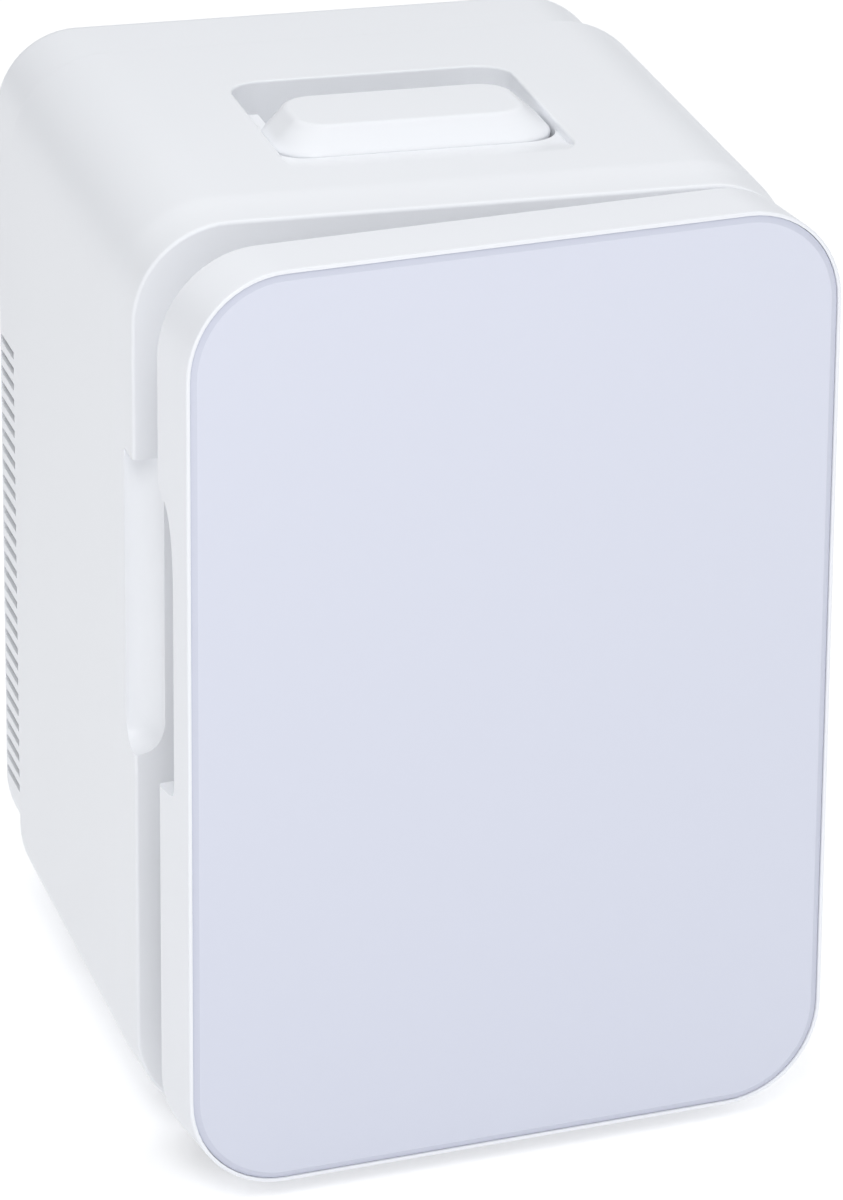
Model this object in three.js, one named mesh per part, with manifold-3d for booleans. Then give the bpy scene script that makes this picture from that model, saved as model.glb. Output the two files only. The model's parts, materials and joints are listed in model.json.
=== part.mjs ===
// Compact thermoelectric fridge: cabinet, door, cooling unit and carry handle.
// Millimetres, +X to the right seen from the front, +Y to the back, +Z up.
// Everything is laid out with the cabinet's front rim at y = 0, its middle at x = 0 and the floor
// at z = 0. The last lines move the origin to the bottom centre of the whole object.
import * as THREE from 'three';
import { mergeVertices } from 'three/addons/utils/BufferGeometryUtils.js';
import Module from 'manifold-3d';

const wasm = await Module();
wasm.setup();

// Driving dimensions: clearances
const touchGap = 0.3;
const looseGap = 1;

// Cabinet
const cabinetWidth = 244;
const cabinetHeight = 340;
const cabinetDepth = 258;
const cabinetCorner = 36;
const shellWall = 2.5;
const collarDepth = 27;
const collarDrop = 1;
const frontEdge = 1.4;
const rearEdge = 2.4;
const rimWidth = 14;
const footHeight = 6;
const footRadius = 10;
const footStemRadius = 3;
const footInset = 34;

// Rear cover
const coverInset = 5.1;
const coverWall = 2.2;
const coverEdge = 12;
const coverLap = 4.2;
const louvrePitch = 6.3;
const louvreHeight = 3;
const louvreRows = 29;
const louvreStart = 38;
const louvreFront = 6;
const screwWellRadius = 4.2;
const screwHeadRadius = 3.4;
const screwShankRadius = 1.5;
const screwHeadHeight = 2.4;
const screwInset = 26;
const screwWellFloor = 6;
const screwReach = 9;

// Cabin and insulation
const sideInsulation = 25;
const bottomInsulation = 26;
const rearInsulation = 23;
const foamUnderPocket = 9;
const linerWall = 2;
const cavityCorner = 14;
const mouthRound = 2;
const bulkheadThickness = 2.5;
const pegLength = 3;
const boardThickness = 1.6;
const shelfThickness = 3;
const shelfDepth = 118;
const shelfHeight = 150;
const shelfFront = 12;

// Carry handle and its recess
const recessWidth = 104.5;
const recessFront = 45.5;
const recessBack = 151;
const recessCorner = 13;
const recessWall = 3;
const dishDepth = 3.5;
const dishRun = 23.5;
const pocketDepth = 28;
const handleRise = 5.5;
const handleDepth = 44;
const handleCorner = 16;
const handleUnderside = 6;
const handleFrontBevel = 8.5;
const handleEndBevel = 10;
const handleBevelFoot = 3;
const pivotSetback = 15;
const pivotDrop = 14;
const armRadius = 6;
const armWidth = 8;
const handlePinRadius = 2.2;

// Finger scoop in the cabinet's left front edge
const scoopBottom = 144.5;
const scoopTop = 256.5;
const scoopAcross = 12;
const scoopBack = 18;

// Door
const doorAjar = 7.5;
const doorThickness = 29.8;
const doorGap = 1.2;
const doorNarrower = 1;
const doorLower = 1.2;
const doorShift = 1.1;
const doorRise = 0.4;
const doorWall = 2.6;
const doorFrontEdge = 1.4;
const doorBackEdge = 2;
const doorLip = 10;
const doorLipThickness = 2.5;
const glassInset = 3.2;
const glassGap = 0.3;
const glassThickness = 3.1;
const glassBevel = 2;
const glassBevelDepth = 0.6;
const glassLedge = 9;
const panelWall = 2;
const plugClearance = 6;
const plugRise = 7;
const plugRim = 9;
const doorPocketDepth = 17;
const gasketInset = 17.6;
const gasketWidth = 7.5;
const rackHeight = 34;
const rackWall = 2;
const rackHeights = [26, 146];

// Grip notch in the door's back left edge
const notchBottom = 147;
const notchTop = 274;
const notchForward = 15.8;
const notchAcross = 14;
const notchCorner = 4;

// Hinge
const hingeInset = 7;
const hingeForward = 13;
const hingeFromEnd = 50;
const hingePinRadius = 2.2;
const hingePinLength = 17;
const earThickness = 2.5;
const earRadius = 5.2;
const earNeck = 7.5;
const bracketThickness = 2;
const bracketHalfHeight = 15;
const hingeScrewOffset = 10;
const hingeScrewInset = 3;
const hingeScrewHead = 2.6;
const bracketInboard = 14;
const bracketOutboard = 2.5;
const earOffset = 5;
const doorTravel = 100;

// Cooling unit
const blockSize = 40;
const moduleThickness = 3.8;
const coldSink = { width: 84, height: 92, base: 4, fin: 12, finCount: 11, finThickness: 1.4 };
const hotSink = { width: 108, height: 112, base: 5, fin: 25, finCount: 13, finThickness: 1.6 };
const coldFan = { size: 60, depth: 10, rotor: 26, hub: 11, blades: 7, chord: 8 };
const hotFan = { size: 80, depth: 15, rotor: 35.5, hub: 14, blades: 7, chord: 13 };
const fanGap = 2;
const strutPlate = 2.5;
const strutWidth = 3;
const grilleGap = 12.7;
const fanCoverWidth = 116;
const fanCoverHeight = 128;
const shaftRadius = 1.5;

// Rear fittings, placed from the cabinet's middle and its underside
const inletPlace = { x: -70, z: 44 };
const socketPlace = { x: -34, z: 44 };
const switchPlace = { x: 66, z: 44 };
const lensPlaces = { cool: { x: 43, z: 49 }, warm: { x: 43, z: 39 } };
const inlet = { width: 26, height: 20, flange: 2.5, depth: 20 };
const inletMouth = { width: 20, height: 11, corner: 5, depth: 12, pinRadius: 1.2, pinOffset: 4.3 };
const socket = { barrel: 6, flange: 8.5, mouth: 4, pin: 1.1, depth: 16, mouthDepth: 12 };
const bezel = { width: 24, height: 16, flange: 2, depth: 14, openWidth: 20, openHeight: 12, openDepth: 11 };
const rockerHeight = 10.8;
const lensRadius = 2;
const board = { width: 150, height: 60, underSink: 10, pegRadius: 2.5, pegInset: 6 };

// Facets
const cornerSteps = 5;
const roundSides = 16;
const smallSides = 8;

// Derived places
const cabinetBase = footHeight;
const cabinetTop = footHeight + cabinetHeight;
const cabinetMiddle = footHeight + cabinetHeight / 2;
const shellInner = collarDrop + shellWall;
const hotFanBackGap = grilleGap + coverWall;
const rearBay = touchGap + hotSink.base + hotSink.fin + fanGap + hotFan.depth + hotFanBackGap;
const bulkheadBack = cabinetDepth - rearBay;
const bulkheadFront = bulkheadBack - bulkheadThickness;
const shellDepth = bulkheadBack + coverLap;
const foamBack = bulkheadFront - touchGap;
const linerBack = foamBack - rearInsulation;
const cavityBack = linerBack - linerWall;
const cavityWidth = cabinetWidth - 2 * (sideInsulation + linerWall);
const topInsulation = pocketDepth + recessWall + foamUnderPocket;
const cavityFloor = cabinetBase + bottomInsulation + linerWall;
const cavityCeiling = cabinetTop - topInsulation - linerWall;
const cavityHeight = cavityCeiling - cavityFloor;
const cavityMiddle = (cavityFloor + cavityCeiling) / 2;
const pocketFront = recessFront + dishRun;
const pivotY = recessBack - pivotSetback;
const pivotZ = cabinetTop - pivotDrop;
const hingeX = cabinetWidth / 2 - hingeInset;
const hingeY = -hingeForward;
const hingeHeights = { upper: cabinetTop - hingeFromEnd, lower: cabinetBase + hingeFromEnd };
const doorWidth = cabinetWidth - doorNarrower;
const doorHeight = cabinetHeight - doorLower;
const doorMiddle = cabinetMiddle + doorRise;
const doorBack = -doorGap;
const doorFront = doorBack - doorThickness;
const doorLeft = doorShift - doorWidth / 2;
const doorRight = doorShift + doorWidth / 2;
const ledgeFront = doorFront + glassThickness + touchGap;
const ledgeBack = ledgeFront + doorLipThickness;
const flangeBack = doorBack - doorLipThickness - touchGap;
const plugWidth = cavityWidth - 2 * plugClearance;
const plugHeight = cavityHeight - 2 * plugClearance;
const boardMiddle = cavityMiddle - hotSink.height / 2 - board.underSink - board.height / 2;
const pocketWidth = plugWidth - 2 * plugRim;
const pocketHeight = plugHeight - 2 * plugRim;

const finishes = {
  whitePlastic: { color: 0xe6e8f0, roughness: 0.35, metalness: 0 },
  doorPlastic: { color: 0xeeeef6, roughness: 0.3, metalness: 0 },
  whiteGlass: { color: 0xdde1ee, roughness: 0.08, metalness: 0 },
  linerPlastic: { color: 0xdfe2e8, roughness: 0.45, metalness: 0 },
  rackPlastic: { color: 0xd8dce4, roughness: 0.3, metalness: 0 },
  foam: { color: 0xe8dfb8, roughness: 0.95, metalness: 0 },
  seal: { color: 0xcfd0d6, roughness: 0.7, metalness: 0 },
  rubber: { color: 0x3a3b3e, roughness: 0.85, metalness: 0 },
  aluminium: { color: 0xb8babf, roughness: 0.4, metalness: 1 },
  steel: { color: 0x9fa2a8, roughness: 0.3, metalness: 1 },
  blackPlastic: { color: 0x1e1f22, roughness: 0.5, metalness: 0 },
  ceramic: { color: 0xeceae2, roughness: 0.6, metalness: 0 },
  board: { color: 0x2c6b45, roughness: 0.5, metalness: 0 },
  coolLens: { color: 0x6fb4ff, roughness: 0.15, metalness: 0 },
  warmLens: { color: 0xff8a5c, roughness: 0.15, metalness: 0 },
};

// Helpers

// Rounded rectangle as plane points, counterclockwise, the same count whatever its size.
function roundedPoints(width, height, radius) {
  const corner = Math.min(Math.max(radius, 0.5), width / 2 - 0.01, height / 2 - 0.01);
  const points = [];
  [[1, 1], [-1, 1], [-1, -1], [1, -1]].forEach(([signU, signV], index) => {
    for (let step = 0; step <= cornerSteps; step += 1) {
      const angle = (index + step / cornerSteps) * Math.PI / 2;
      points.push([
        signU * (width / 2 - corner) + corner * Math.cos(angle),
        signV * (height / 2 - corner) + corner * Math.sin(angle),
      ]);
    }
  });
  return points;
}

// The same rectangle standing at depth y, or lying at height z.
function standing(width, height, radius, y, x, z) {
  return roundedPoints(width, height, radius).map(([u, v]) => new THREE.Vector3(x + u, y, z + v));
}

function lying(width, length, radius, z, x, y) {
  return roundedPoints(width, length, radius).map(([u, v]) => new THREE.Vector3(x + u, y + v, z));
}

function signedVolume(positions, indices) {
  const corners = [0, 1, 2].map(() => new THREE.Vector3());
  let total = 0;
  for (let at = 0; at < indices.length; at += 3) {
    corners.forEach((corner, side) => corner.fromArray(positions, indices[at + side] * 3));
    total += corners[0].dot(corners[1].cross(corners[2])) / 6;
  }
  return total;
}

function solidFrom(positions, indices) {
  const facing = [...indices];
  if (signedVolume(positions, indices) < 0) facing.reverse();
  return new wasm.Manifold(new wasm.Mesh({
    numProp: 3,
    vertProperties: Float32Array.from(positions),
    triVerts: Uint32Array.from(facing),
  }));
}

// Skin over loops of equal count. An open run gets a flat cap at each end, a ring joins end to end.
function skin(loops, isRing = false) {
  const count = loops[0].length;
  const positions = loops.flat().flatMap((point) => point.toArray());
  const indices = [];
  const spans = isRing ? loops.length : loops.length - 1;
  for (let span = 0; span < spans; span += 1) {
    const here = span * count;
    const next = ((span + 1) % loops.length) * count;
    for (let at = 0; at < count; at += 1) {
      const after = (at + 1) % count;
      indices.push(here + at, here + after, next + after, here + at, next + after, next + at);
    }
  }
  if (!isRing) {
    const last = (loops.length - 1) * count;
    for (let at = 1; at < count - 1; at += 1) {
      indices.push(0, at + 1, at, last, last + at, last + at + 1);
    }
  }
  return solidFrom(positions, indices);
}

function solidOf(geometry) {
  const bare = new THREE.BufferGeometry();
  bare.setAttribute('position', geometry.getAttribute('position'));
  bare.setIndex(geometry.index);
  const merged = mergeVertices(bare, 1e-4);
  return solidFrom([...merged.attributes.position.array], [...merged.index.array]);
}

function joined(first, ...others) {
  return others.reduce((whole, piece) => whole.add(piece), first);
}

function cut(first, ...cutters) {
  return cutters.reduce((whole, cutter) => whole.subtract(cutter), first);
}

function block([x0, x1], [y0, y1], [z0, z1]) {
  const geometry = new THREE.BoxGeometry(x1 - x0, y1 - y0, z1 - z0);
  geometry.translate((x0 + x1) / 2, (y0 + y1) / 2, (z0 + z1) / 2);
  return solidOf(geometry);
}

// Block centred on a point of the XZ plane, between two depths.
function panelBlock(width, height, depths, x, z) {
  return block([x - width / 2, x + width / 2], depths, [z - height / 2, z + height / 2]);
}

function rod(radius, start, end, sides = roundSides) {
  const from = new THREE.Vector3(...start);
  const along = new THREE.Vector3(...end).sub(from);
  const geometry = new THREE.CylinderGeometry(radius, radius, along.length(), sides);
  const turn = new THREE.Quaternion().setFromUnitVectors(
    new THREE.Vector3(0, 1, 0),
    along.clone().normalize(),
  );
  geometry.applyQuaternion(turn);
  geometry.translate(from.x + along.x / 2, from.y + along.y / 2, from.z + along.z / 2);
  return solidOf(geometry);
}

// Profile in the YZ plane, pulled along X.
function pulledAlongX(shape, x0, x1) {
  const geometry = new THREE.ExtrudeGeometry(shape, {
    depth: x1 - x0,
    bevelEnabled: false,
    curveSegments: 10,
  });
  geometry.applyMatrix4(new THREE.Matrix4().makeBasis(
    new THREE.Vector3(0, 1, 0),
    new THREE.Vector3(0, 0, 1),
    new THREE.Vector3(1, 0, 0),
  ));
  geometry.translate(x0, 0, 0);
  return solidOf(geometry);
}

function polygon(points) {
  return new THREE.Shape(points.map(([u, v]) => new THREE.Vector2(u, v)));
}

function meshOf(name, solid, finish) {
  const { vertProperties, triVerts } = solid.getMesh();
  const geometry = new THREE.BufferGeometry();
  geometry.setAttribute('position', new THREE.BufferAttribute(vertProperties, 3));
  geometry.setIndex(new THREE.BufferAttribute(triVerts, 1));
  const material = new THREE.MeshStandardMaterial({ ...finishes[finish], flatShading: true });
  const mesh = new THREE.Mesh(geometry, material);
  mesh.name = name;
  return mesh;
}

// Cabinet shell

function cabinetLoop(inset, y) {
  return standing(
    cabinetWidth - 2 * inset,
    cabinetHeight - 2 * inset,
    cabinetCorner - inset,
    y,
    0,
    cabinetMiddle,
  );
}

// Outer skin from the front rim back to the step where the rear cover starts.
function shellOuterLoops() {
  return [
    cabinetLoop(collarDrop + frontEdge, 0),
    cabinetLoop(collarDrop + 0.3 * frontEdge, 0.3 * frontEdge),
    cabinetLoop(collarDrop, frontEdge),
    cabinetLoop(0.35 * collarDrop, 0.75 * collarDepth),
    cabinetLoop(0, collarDepth),
    cabinetLoop(0, shellDepth - rearEdge),
    cabinetLoop(0.3 * rearEdge, shellDepth - 0.3 * rearEdge),
    cabinetLoop(rearEdge, shellDepth),
  ];
}

function scoopForm(grow) {
  const profile = new THREE.Path();
  const bottom = cabinetBase + scoopBottom - grow;
  const top = cabinetBase + scoopTop + grow;
  const bowl = 20;
  const roof = 5;
  profile.moveTo(0, bottom);
  profile.quadraticCurveTo(1, bottom, 1, bottom + bowl);
  profile.lineTo(1, top - roof);
  profile.quadraticCurveTo(1, top, 0.8, top);
  profile.lineTo(0, top);
  const geometry = new THREE.LatheGeometry(profile.getPoints(5), 28);
  geometry.rotateX(Math.PI / 2);
  geometry.scale(scoopAcross + grow, scoopBack + grow, 1);
  geometry.translate(-cabinetWidth / 2, 0, 0);
  return solidOf(geometry);
}

function recessPrism(grow, z0, z1, front = recessFront) {
  const length = recessBack - front + 2 * grow;
  const middle = (recessBack + front) / 2;
  const ends = [z0, z1].map((z) => (
    lying(recessWidth + 2 * grow, length, recessCorner + grow, z, 0, middle)
  ));
  return skin(ends);
}

// Material that carries the handle recess: a shallow dish in front and a deep pocket behind.
function recessTub(grow) {
  const under = cabinetTop - shellWall;
  return joined(
    recessPrism(recessWall + grow, cabinetTop - dishDepth - recessWall - grow, under),
    recessPrism(recessWall + grow, cabinetTop - pocketDepth - recessWall - grow, under, pocketFront),
  );
}

function recessCutter() {
  const above = cabinetTop + 10;
  const ramp = pulledAlongX(polygon([
    [recessFront, cabinetTop],
    [pocketFront, cabinetTop - dishDepth],
    [recessBack + 1, cabinetTop - dishDepth],
    [recessBack + 1, above],
    [recessFront, above],
  ]), -recessWidth, recessWidth);
  return joined(
    recessPrism(0, cabinetTop - dishDepth - 1, above - 1).intersect(ramp),
    recessPrism(0, cabinetTop - pocketDepth, above - 1, pocketFront),
  );
}

function footPlaces() {
  const x = cabinetWidth / 2 - footInset;
  return {
    front_left: [-x, footInset],
    front_right: [x, footInset],
    rear_left: [-x, shellDepth - footInset],
    rear_right: [x, shellDepth - footInset],
  };
}

function footStemHoles() {
  const ceiling = cabinetBase + shellWall + collarDrop + looseGap;
  return Object.values(footPlaces()).map(([x, y]) => (
    rod(footStemRadius + touchGap, [x, y, cabinetBase - 1], [x, y, ceiling], smallSides)
  ));
}

function eachHinge(make) {
  return Object.entries(hingeHeights).flatMap(([level, z]) => make(z, level));
}

function hingeScrewPlaces(z) {
  return [z + hingeScrewOffset, z - hingeScrewOffset].map((height) => (
    [hingeX - hingeScrewInset, height]
  ));
}

// Slot for each hinge ear and countersunk holes for the hinge screws, through the front rim.
function rimCuts() {
  return eachHinge((z) => [
    block(
      [hingeX - earOffset - 2 * touchGap, hingeX - earOffset + earNeck + touchGap],
      [-1, shellWall + 1],
      [z - earThickness / 2 - touchGap, z + earThickness / 2 + touchGap],
    ),
    ...hingeScrewPlaces(z).flatMap(([x, height]) => [
      rod(screwShankRadius + touchGap, [x, -1, height], [x, shellWall + 1, height], smallSides),
      rod(hingeScrewHead + touchGap, [x, -1, height], [x, 1.2, height], smallSides),
    ]),
  ]);
}

function handlePinHoles() {
  const reach = recessWidth / 2 + recessWall + 1;
  return [rod(
    handlePinRadius + touchGap,
    [-reach, pivotY, pivotZ],
    [reach, pivotY, pivotZ],
    smallSides,
  )];
}

function cabinetShell() {
  const sleeve = skin([
    cabinetLoop(rimWidth, 0),
    ...shellOuterLoops(),
    cabinetLoop(coverInset - touchGap, shellDepth),
    cabinetLoop(coverInset - touchGap, shellDepth - shellWall),
    cabinetLoop(shellInner, shellDepth - shellWall),
    cabinetLoop(shellInner, shellWall),
    cabinetLoop(rimWidth, shellWall),
  ], true);
  const envelope = skin(shellOuterLoops());
  return cut(
    joined(sleeve, recessTub(0), scoopForm(shellWall).intersect(envelope)),
    recessCutter(),
    scoopForm(0),
    ...footStemHoles(),
    ...rimCuts(),
    ...handlePinHoles(),
  );
}

function foot([x, y]) {
  const shape = new THREE.Path([
    [0, 0],
    [footRadius - 1, 0],
    [footRadius, 1],
    [footRadius - 0.6, footHeight - touchGap],
    [footStemRadius, footHeight - touchGap],
    [footStemRadius, footHeight + shellInner],
    [0, footHeight + shellInner],
  ].map(([r, z]) => new THREE.Vector2(r, z)));
  const geometry = new THREE.LatheGeometry(shape.getPoints(), roundSides);
  geometry.rotateX(Math.PI / 2);
  geometry.translate(x, y, 0);
  return solidOf(geometry);
}

// Liner, foam and bulkhead

function cavityLoop(grow, y) {
  return standing(
    cavityWidth + 2 * grow,
    cavityHeight + 2 * grow,
    cavityCorner + grow,
    y,
    0,
    cavityMiddle,
  );
}

function shelfRails() {
  const half = cavityWidth / 2;
  const top = cavityFloor + shelfHeight - touchGap;
  return [[-half - 1, -half + 5], [half - 5, half + 1]].map((xs) => (
    block(xs, [shelfFront + 4, shelfFront + shelfDepth], [top - 4, top])
  ));
}

function heatPathHole(depths) {
  return panelBlock(blockSize + 2 * looseGap, blockSize + 2 * looseGap, depths, 0, cavityMiddle);
}

function linerForm() {
  return skin([
    cavityLoop(0, cavityBack),
    cavityLoop(0, mouthRound),
    cavityLoop(0.3 * mouthRound, 0.3 * mouthRound),
    cavityLoop(mouthRound, 0),
    cabinetLoop(rimWidth + touchGap, 0),
    cabinetLoop(rimWidth + touchGap, shellWall),
    cavityLoop(linerWall, shellWall),
    cavityLoop(linerWall, linerBack),
  ]);
}

function cabinetLiner() {
  const pathHole = heatPathHole([cavityBack - 1, linerBack + 1]);
  return cut(joined(linerForm(), ...shelfRails()), pathHole, scoopForm(shellWall + touchGap));
}

function hingeBracketPocket(z) {
  const grow = touchGap;
  return block(
    [hingeX - bracketInboard - grow, hingeX + bracketOutboard + grow],
    [shellWall, shellWall + 2 * touchGap + bracketThickness + 8],
    [z - bracketHalfHeight - grow, z + bracketHalfHeight + grow],
  );
}

function cabinetFoam() {
  const front = shellWall + touchGap;
  const inset = shellInner + touchGap;
  const cabin = skin([
    cavityLoop(linerWall + touchGap, front - 1),
    cavityLoop(linerWall + touchGap, linerBack + touchGap),
  ]);
  return cut(
    skin([cabinetLoop(inset, front), cabinetLoop(inset, foamBack)]),
    cabin,
    recessTub(touchGap),
    scoopForm(shellWall + touchGap),
    heatPathHole([linerBack - 1, foamBack + 1]),
    ...footStemHoles(),
    ...handlePinHoles(),
    ...eachHinge((z) => [hingeBracketPocket(z)]),
    ...coverScrewRods(screwShankRadius + touchGap, 1),
  );
}

function boardPegPlaces() {
  const x = board.width / 2 - board.pegInset;
  const z = board.height / 2 - board.pegInset;
  return [[-x, -z], [x, -z], [x, z], [-x, z]].map(([u, v]) => [u, boardMiddle + v]);
}

function bulkhead() {
  const inset = shellInner + touchGap;
  const plate = skin([cabinetLoop(inset, bulkheadFront), cabinetLoop(inset, bulkheadBack)]);
  const pegs = boardPegPlaces().map(([x, z]) => (
    rod(board.pegRadius, [x, bulkheadBack - 1, z], [x, bulkheadBack + pegLength, z], smallSides)
  ));
  return cut(
    joined(plate, ...pegs),
    heatPathHole([bulkheadFront - 1, bulkheadBack + 1]),
    ...coverScrewRods(screwShankRadius + touchGap, 1),
  );
}

function shelf() {
  const half = cavityWidth / 2 - looseGap;
  const z = cavityFloor + shelfHeight;
  const front = shelfFront;
  const plate = skin([z, z + shelfThickness].map((height) => (
    lying(2 * half, shelfDepth, 6, height, 0, front + shelfDepth / 2)
  )));
  const slots = [-3, -2, -1, 0, 1, 2, 3].map((step) => {
    const x = step * cavityWidth / 8.5;
    return block([x - 4, x + 4], [front + 14, front + shelfDepth - 12], [z - 1, z + 5]);
  });
  return cut(plate, ...slots);
}

// Rear cover

function coverScrewPlaces() {
  const x = cabinetWidth / 2 - coverInset - screwInset;
  const rise = cabinetHeight / 2 - coverInset - screwInset;
  return [[-x, -rise], [x, -rise], [x, rise], [-x, rise]].map(([u, v]) => [u, cabinetMiddle + v]);
}

function coverScrewRods(radius, beyond) {
  const start = bulkheadFront - screwReach - beyond;
  const end = bulkheadBack + screwWellFloor + beyond;
  return coverScrewPlaces().map(([x, z]) => rod(radius, [x, start, z], [x, end, z], smallSides));
}

function sideLouvres() {
  const reach = coverWall + 3;
  const side = cabinetWidth / 2 - coverInset;
  const slots = [];
  for (let row = 0; row < louvreRows; row += 1) {
    const z = cabinetBase + louvreStart + row * louvrePitch;
    const depths = [shellDepth + louvreFront, cabinetDepth - coverEdge];
    [[-side - 1, -side + reach], [side - reach, side + 1]].forEach((xs) => {
      slots.push(block(xs, depths, [z, z + louvreHeight]));
    });
  }
  return slots;
}

// Level slots that fill a circle behind the hot fan.
function fanGrilleSlots() {
  const radius = hotFan.rotor;
  const rows = Math.floor(radius / louvrePitch);
  const slots = [];
  for (let row = -rows; row <= rows; row += 1) {
    const z = cavityMiddle + row * louvrePitch;
    const half = Math.sqrt(radius ** 2 - (row * louvrePitch) ** 2);
    const depths = [cabinetDepth - coverWall - 1, cabinetDepth + 1];
    [[-half, -2], [2, half]].forEach((xs) => {
      slots.push(block(xs, depths, [z - louvreHeight / 2, z + louvreHeight / 2]));
    });
  }
  return slots;
}

function rearWallHole(width, height, { x, z }) {
  const depths = [cabinetDepth - coverWall - 1, cabinetDepth + 1];
  return panelBlock(width + 2 * touchGap, height + 2 * touchGap, depths, x, cabinetBase + z);
}

function rearWallBore(radius, { x, z }) {
  const height = cabinetBase + z;
  const start = [x, cabinetDepth - coverWall - 1, height];
  return rod(radius + touchGap, start, [x, cabinetDepth + 1, height]);
}

function rearCover() {
  const front = bulkheadBack + touchGap;
  const inside = coverInset + coverWall;
  const bend = (steps, radius, inset, back) => steps.map((angle) => cabinetLoop(
    inset + radius * (1 - Math.cos(angle)),
    back - radius * (1 - Math.sin(angle)),
  ));
  const angles = [0, 1, 2, 3, 4].map((step) => step * Math.PI / 8);
  const tray = skin([
    ...bend([...angles].reverse(), coverEdge, coverInset, cabinetDepth),
    cabinetLoop(coverInset, front),
    cabinetLoop(inside, front),
    ...bend(angles, coverEdge - coverWall, inside, cabinetDepth - coverWall),
  ]);
  const posts = coverScrewPlaces().map(([x, z]) => (
    rod(screwWellRadius + coverWall, [x, front, z], [x, cabinetDepth - 1, z])
  ));
  const wells = coverScrewPlaces().map(([x, z]) => (
    rod(screwWellRadius, [x, bulkheadBack + screwWellFloor, z], [x, cabinetDepth + 1, z], smallSides)
  ));
  return cut(
    joined(tray, ...posts),
    ...wells,
    ...coverScrewRods(screwShankRadius + touchGap, 1),
    ...sideLouvres(),
    ...fanGrilleSlots(),
    rearWallHole(inlet.width, inlet.height, inletPlace),
    rearWallBore(socket.barrel, socketPlace),
    rearWallHole(bezel.width, bezel.height, switchPlace),
    ...Object.values(lensPlaces).map((place) => rearWallBore(lensRadius, place)),
  );
}

function coverScrew([x, z]) {
  const seat = bulkheadBack + screwWellFloor + touchGap;
  return joined(
    rod(screwShankRadius, [x, bulkheadFront - screwReach, z], [x, seat + 1, z], smallSides),
    rod(screwHeadRadius, [x, seat, z], [x, seat + screwHeadHeight, z], smallSides),
  );
}

// Cooling unit

function finnedSink(sink, baseFace, direction) {
  const at = (distance) => baseFace + direction * distance;
  const depths = (near, far) => [at(near), at(far)].sort((a, b) => a - b);
  const fins = [];
  const pitch = (sink.width - sink.finThickness) / (sink.finCount - 1);
  for (let fin = 0; fin < sink.finCount; fin += 1) {
    const x = -sink.width / 2 + sink.finThickness / 2 + fin * pitch;
    const span = depths(sink.base - 1, sink.base + sink.fin);
    fins.push(panelBlock(sink.finThickness, sink.height, span, x, cavityMiddle));
  }
  const base = panelBlock(sink.width, sink.height, depths(0, sink.base), 0, cavityMiddle);
  return joined(base, ...fins);
}

function fanFrame(fan, front) {
  const back = front + fan.depth;
  const plate = [back - strutPlate, back];
  const struts = [0, 1].map((turn) => {
    const long = fan.size - 4;
    const [width, height] = turn ? [strutWidth, long] : [long, strutWidth];
    return panelBlock(width, height, plate, 0, cavityMiddle);
  });
  const ring = cut(
    panelBlock(fan.size, fan.size, [front, back], 0, cavityMiddle),
    rod(fan.rotor + 2, [0, front - 1, cavityMiddle], [0, back + 1, cavityMiddle], 32),
  );
  const hub = rod(fan.hub, [0, plate[0], cavityMiddle], [0, plate[1], cavityMiddle]);
  const bore = rod(
    shaftRadius + touchGap,
    [0, front, cavityMiddle],
    [0, back + 1, cavityMiddle],
    smallSides,
  );
  return cut(joined(ring, ...struts, hub), bore);
}

function fanRotor(fan, front) {
  const hubBack = front + fan.depth - strutPlate - touchGap - 0.5;
  const bladeMiddle = (front + hubBack) / 2 + 0.5;
  const pitchAngle = Math.PI / 5;
  const blades = [];
  for (let blade = 0; blade < fan.blades; blade += 1) {
    const length = fan.rotor - fan.hub + 1;
    const geometry = new THREE.BoxGeometry(length, fan.chord, 1.4);
    geometry.rotateX(pitchAngle);
    geometry.translate(fan.hub - 1 + length / 2, 0, 0);
    geometry.rotateY(blade * 2 * Math.PI / fan.blades);
    geometry.translate(0, bladeMiddle, cavityMiddle);
    blades.push(solidOf(geometry));
  }
  const shaftEnd = front + fan.depth - 0.5;
  return joined(
    rod(fan.hub, [0, front + 0.6, cavityMiddle], [0, hubBack, cavityMiddle], 24),
    rod(shaftRadius, [0, hubBack - 1, cavityMiddle], [0, shaftEnd, cavityMiddle], smallSides),
    ...blades,
  );
}

function coolingUnit() {
  const coldFace = cavityBack - touchGap;
  const coldFanFront = coldFace - coldSink.base - coldSink.fin - fanGap - coldFan.depth;
  const hotFace = bulkheadBack + touchGap;
  const hotFanFront = hotFace + hotSink.base + hotSink.fin + fanGap;
  const moduleFront = bulkheadBack - moduleThickness;
  const square = (depths) => panelBlock(blockSize, blockSize, depths, 0, cavityMiddle);
  return {
    fixed: [
      meshOf('cold_side_sink', finnedSink(coldSink, coldFace, -1), 'aluminium'),
      meshOf('cold_fan_frame', fanFrame(coldFan, coldFanFront), 'blackPlastic'),
      meshOf('inner_fan_cover', innerFanCover(coldFanFront), 'linerPlastic'),
      meshOf('conduction_block', square([cavityBack, moduleFront - touchGap]), 'aluminium'),
      meshOf('thermoelectric_module', square([moduleFront, bulkheadBack]), 'ceramic'),
      meshOf('hot_side_sink', finnedSink(hotSink, hotFace, 1), 'aluminium'),
      meshOf('hot_fan_frame', fanFrame(hotFan, hotFanFront), 'blackPlastic'),
    ],
    coldRotor: meshOf('cold_fan_rotor', fanRotor(coldFan, coldFanFront), 'blackPlastic'),
    hotRotor: meshOf('hot_fan_rotor', fanRotor(hotFan, hotFanFront), 'blackPlastic'),
  };
}

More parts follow.
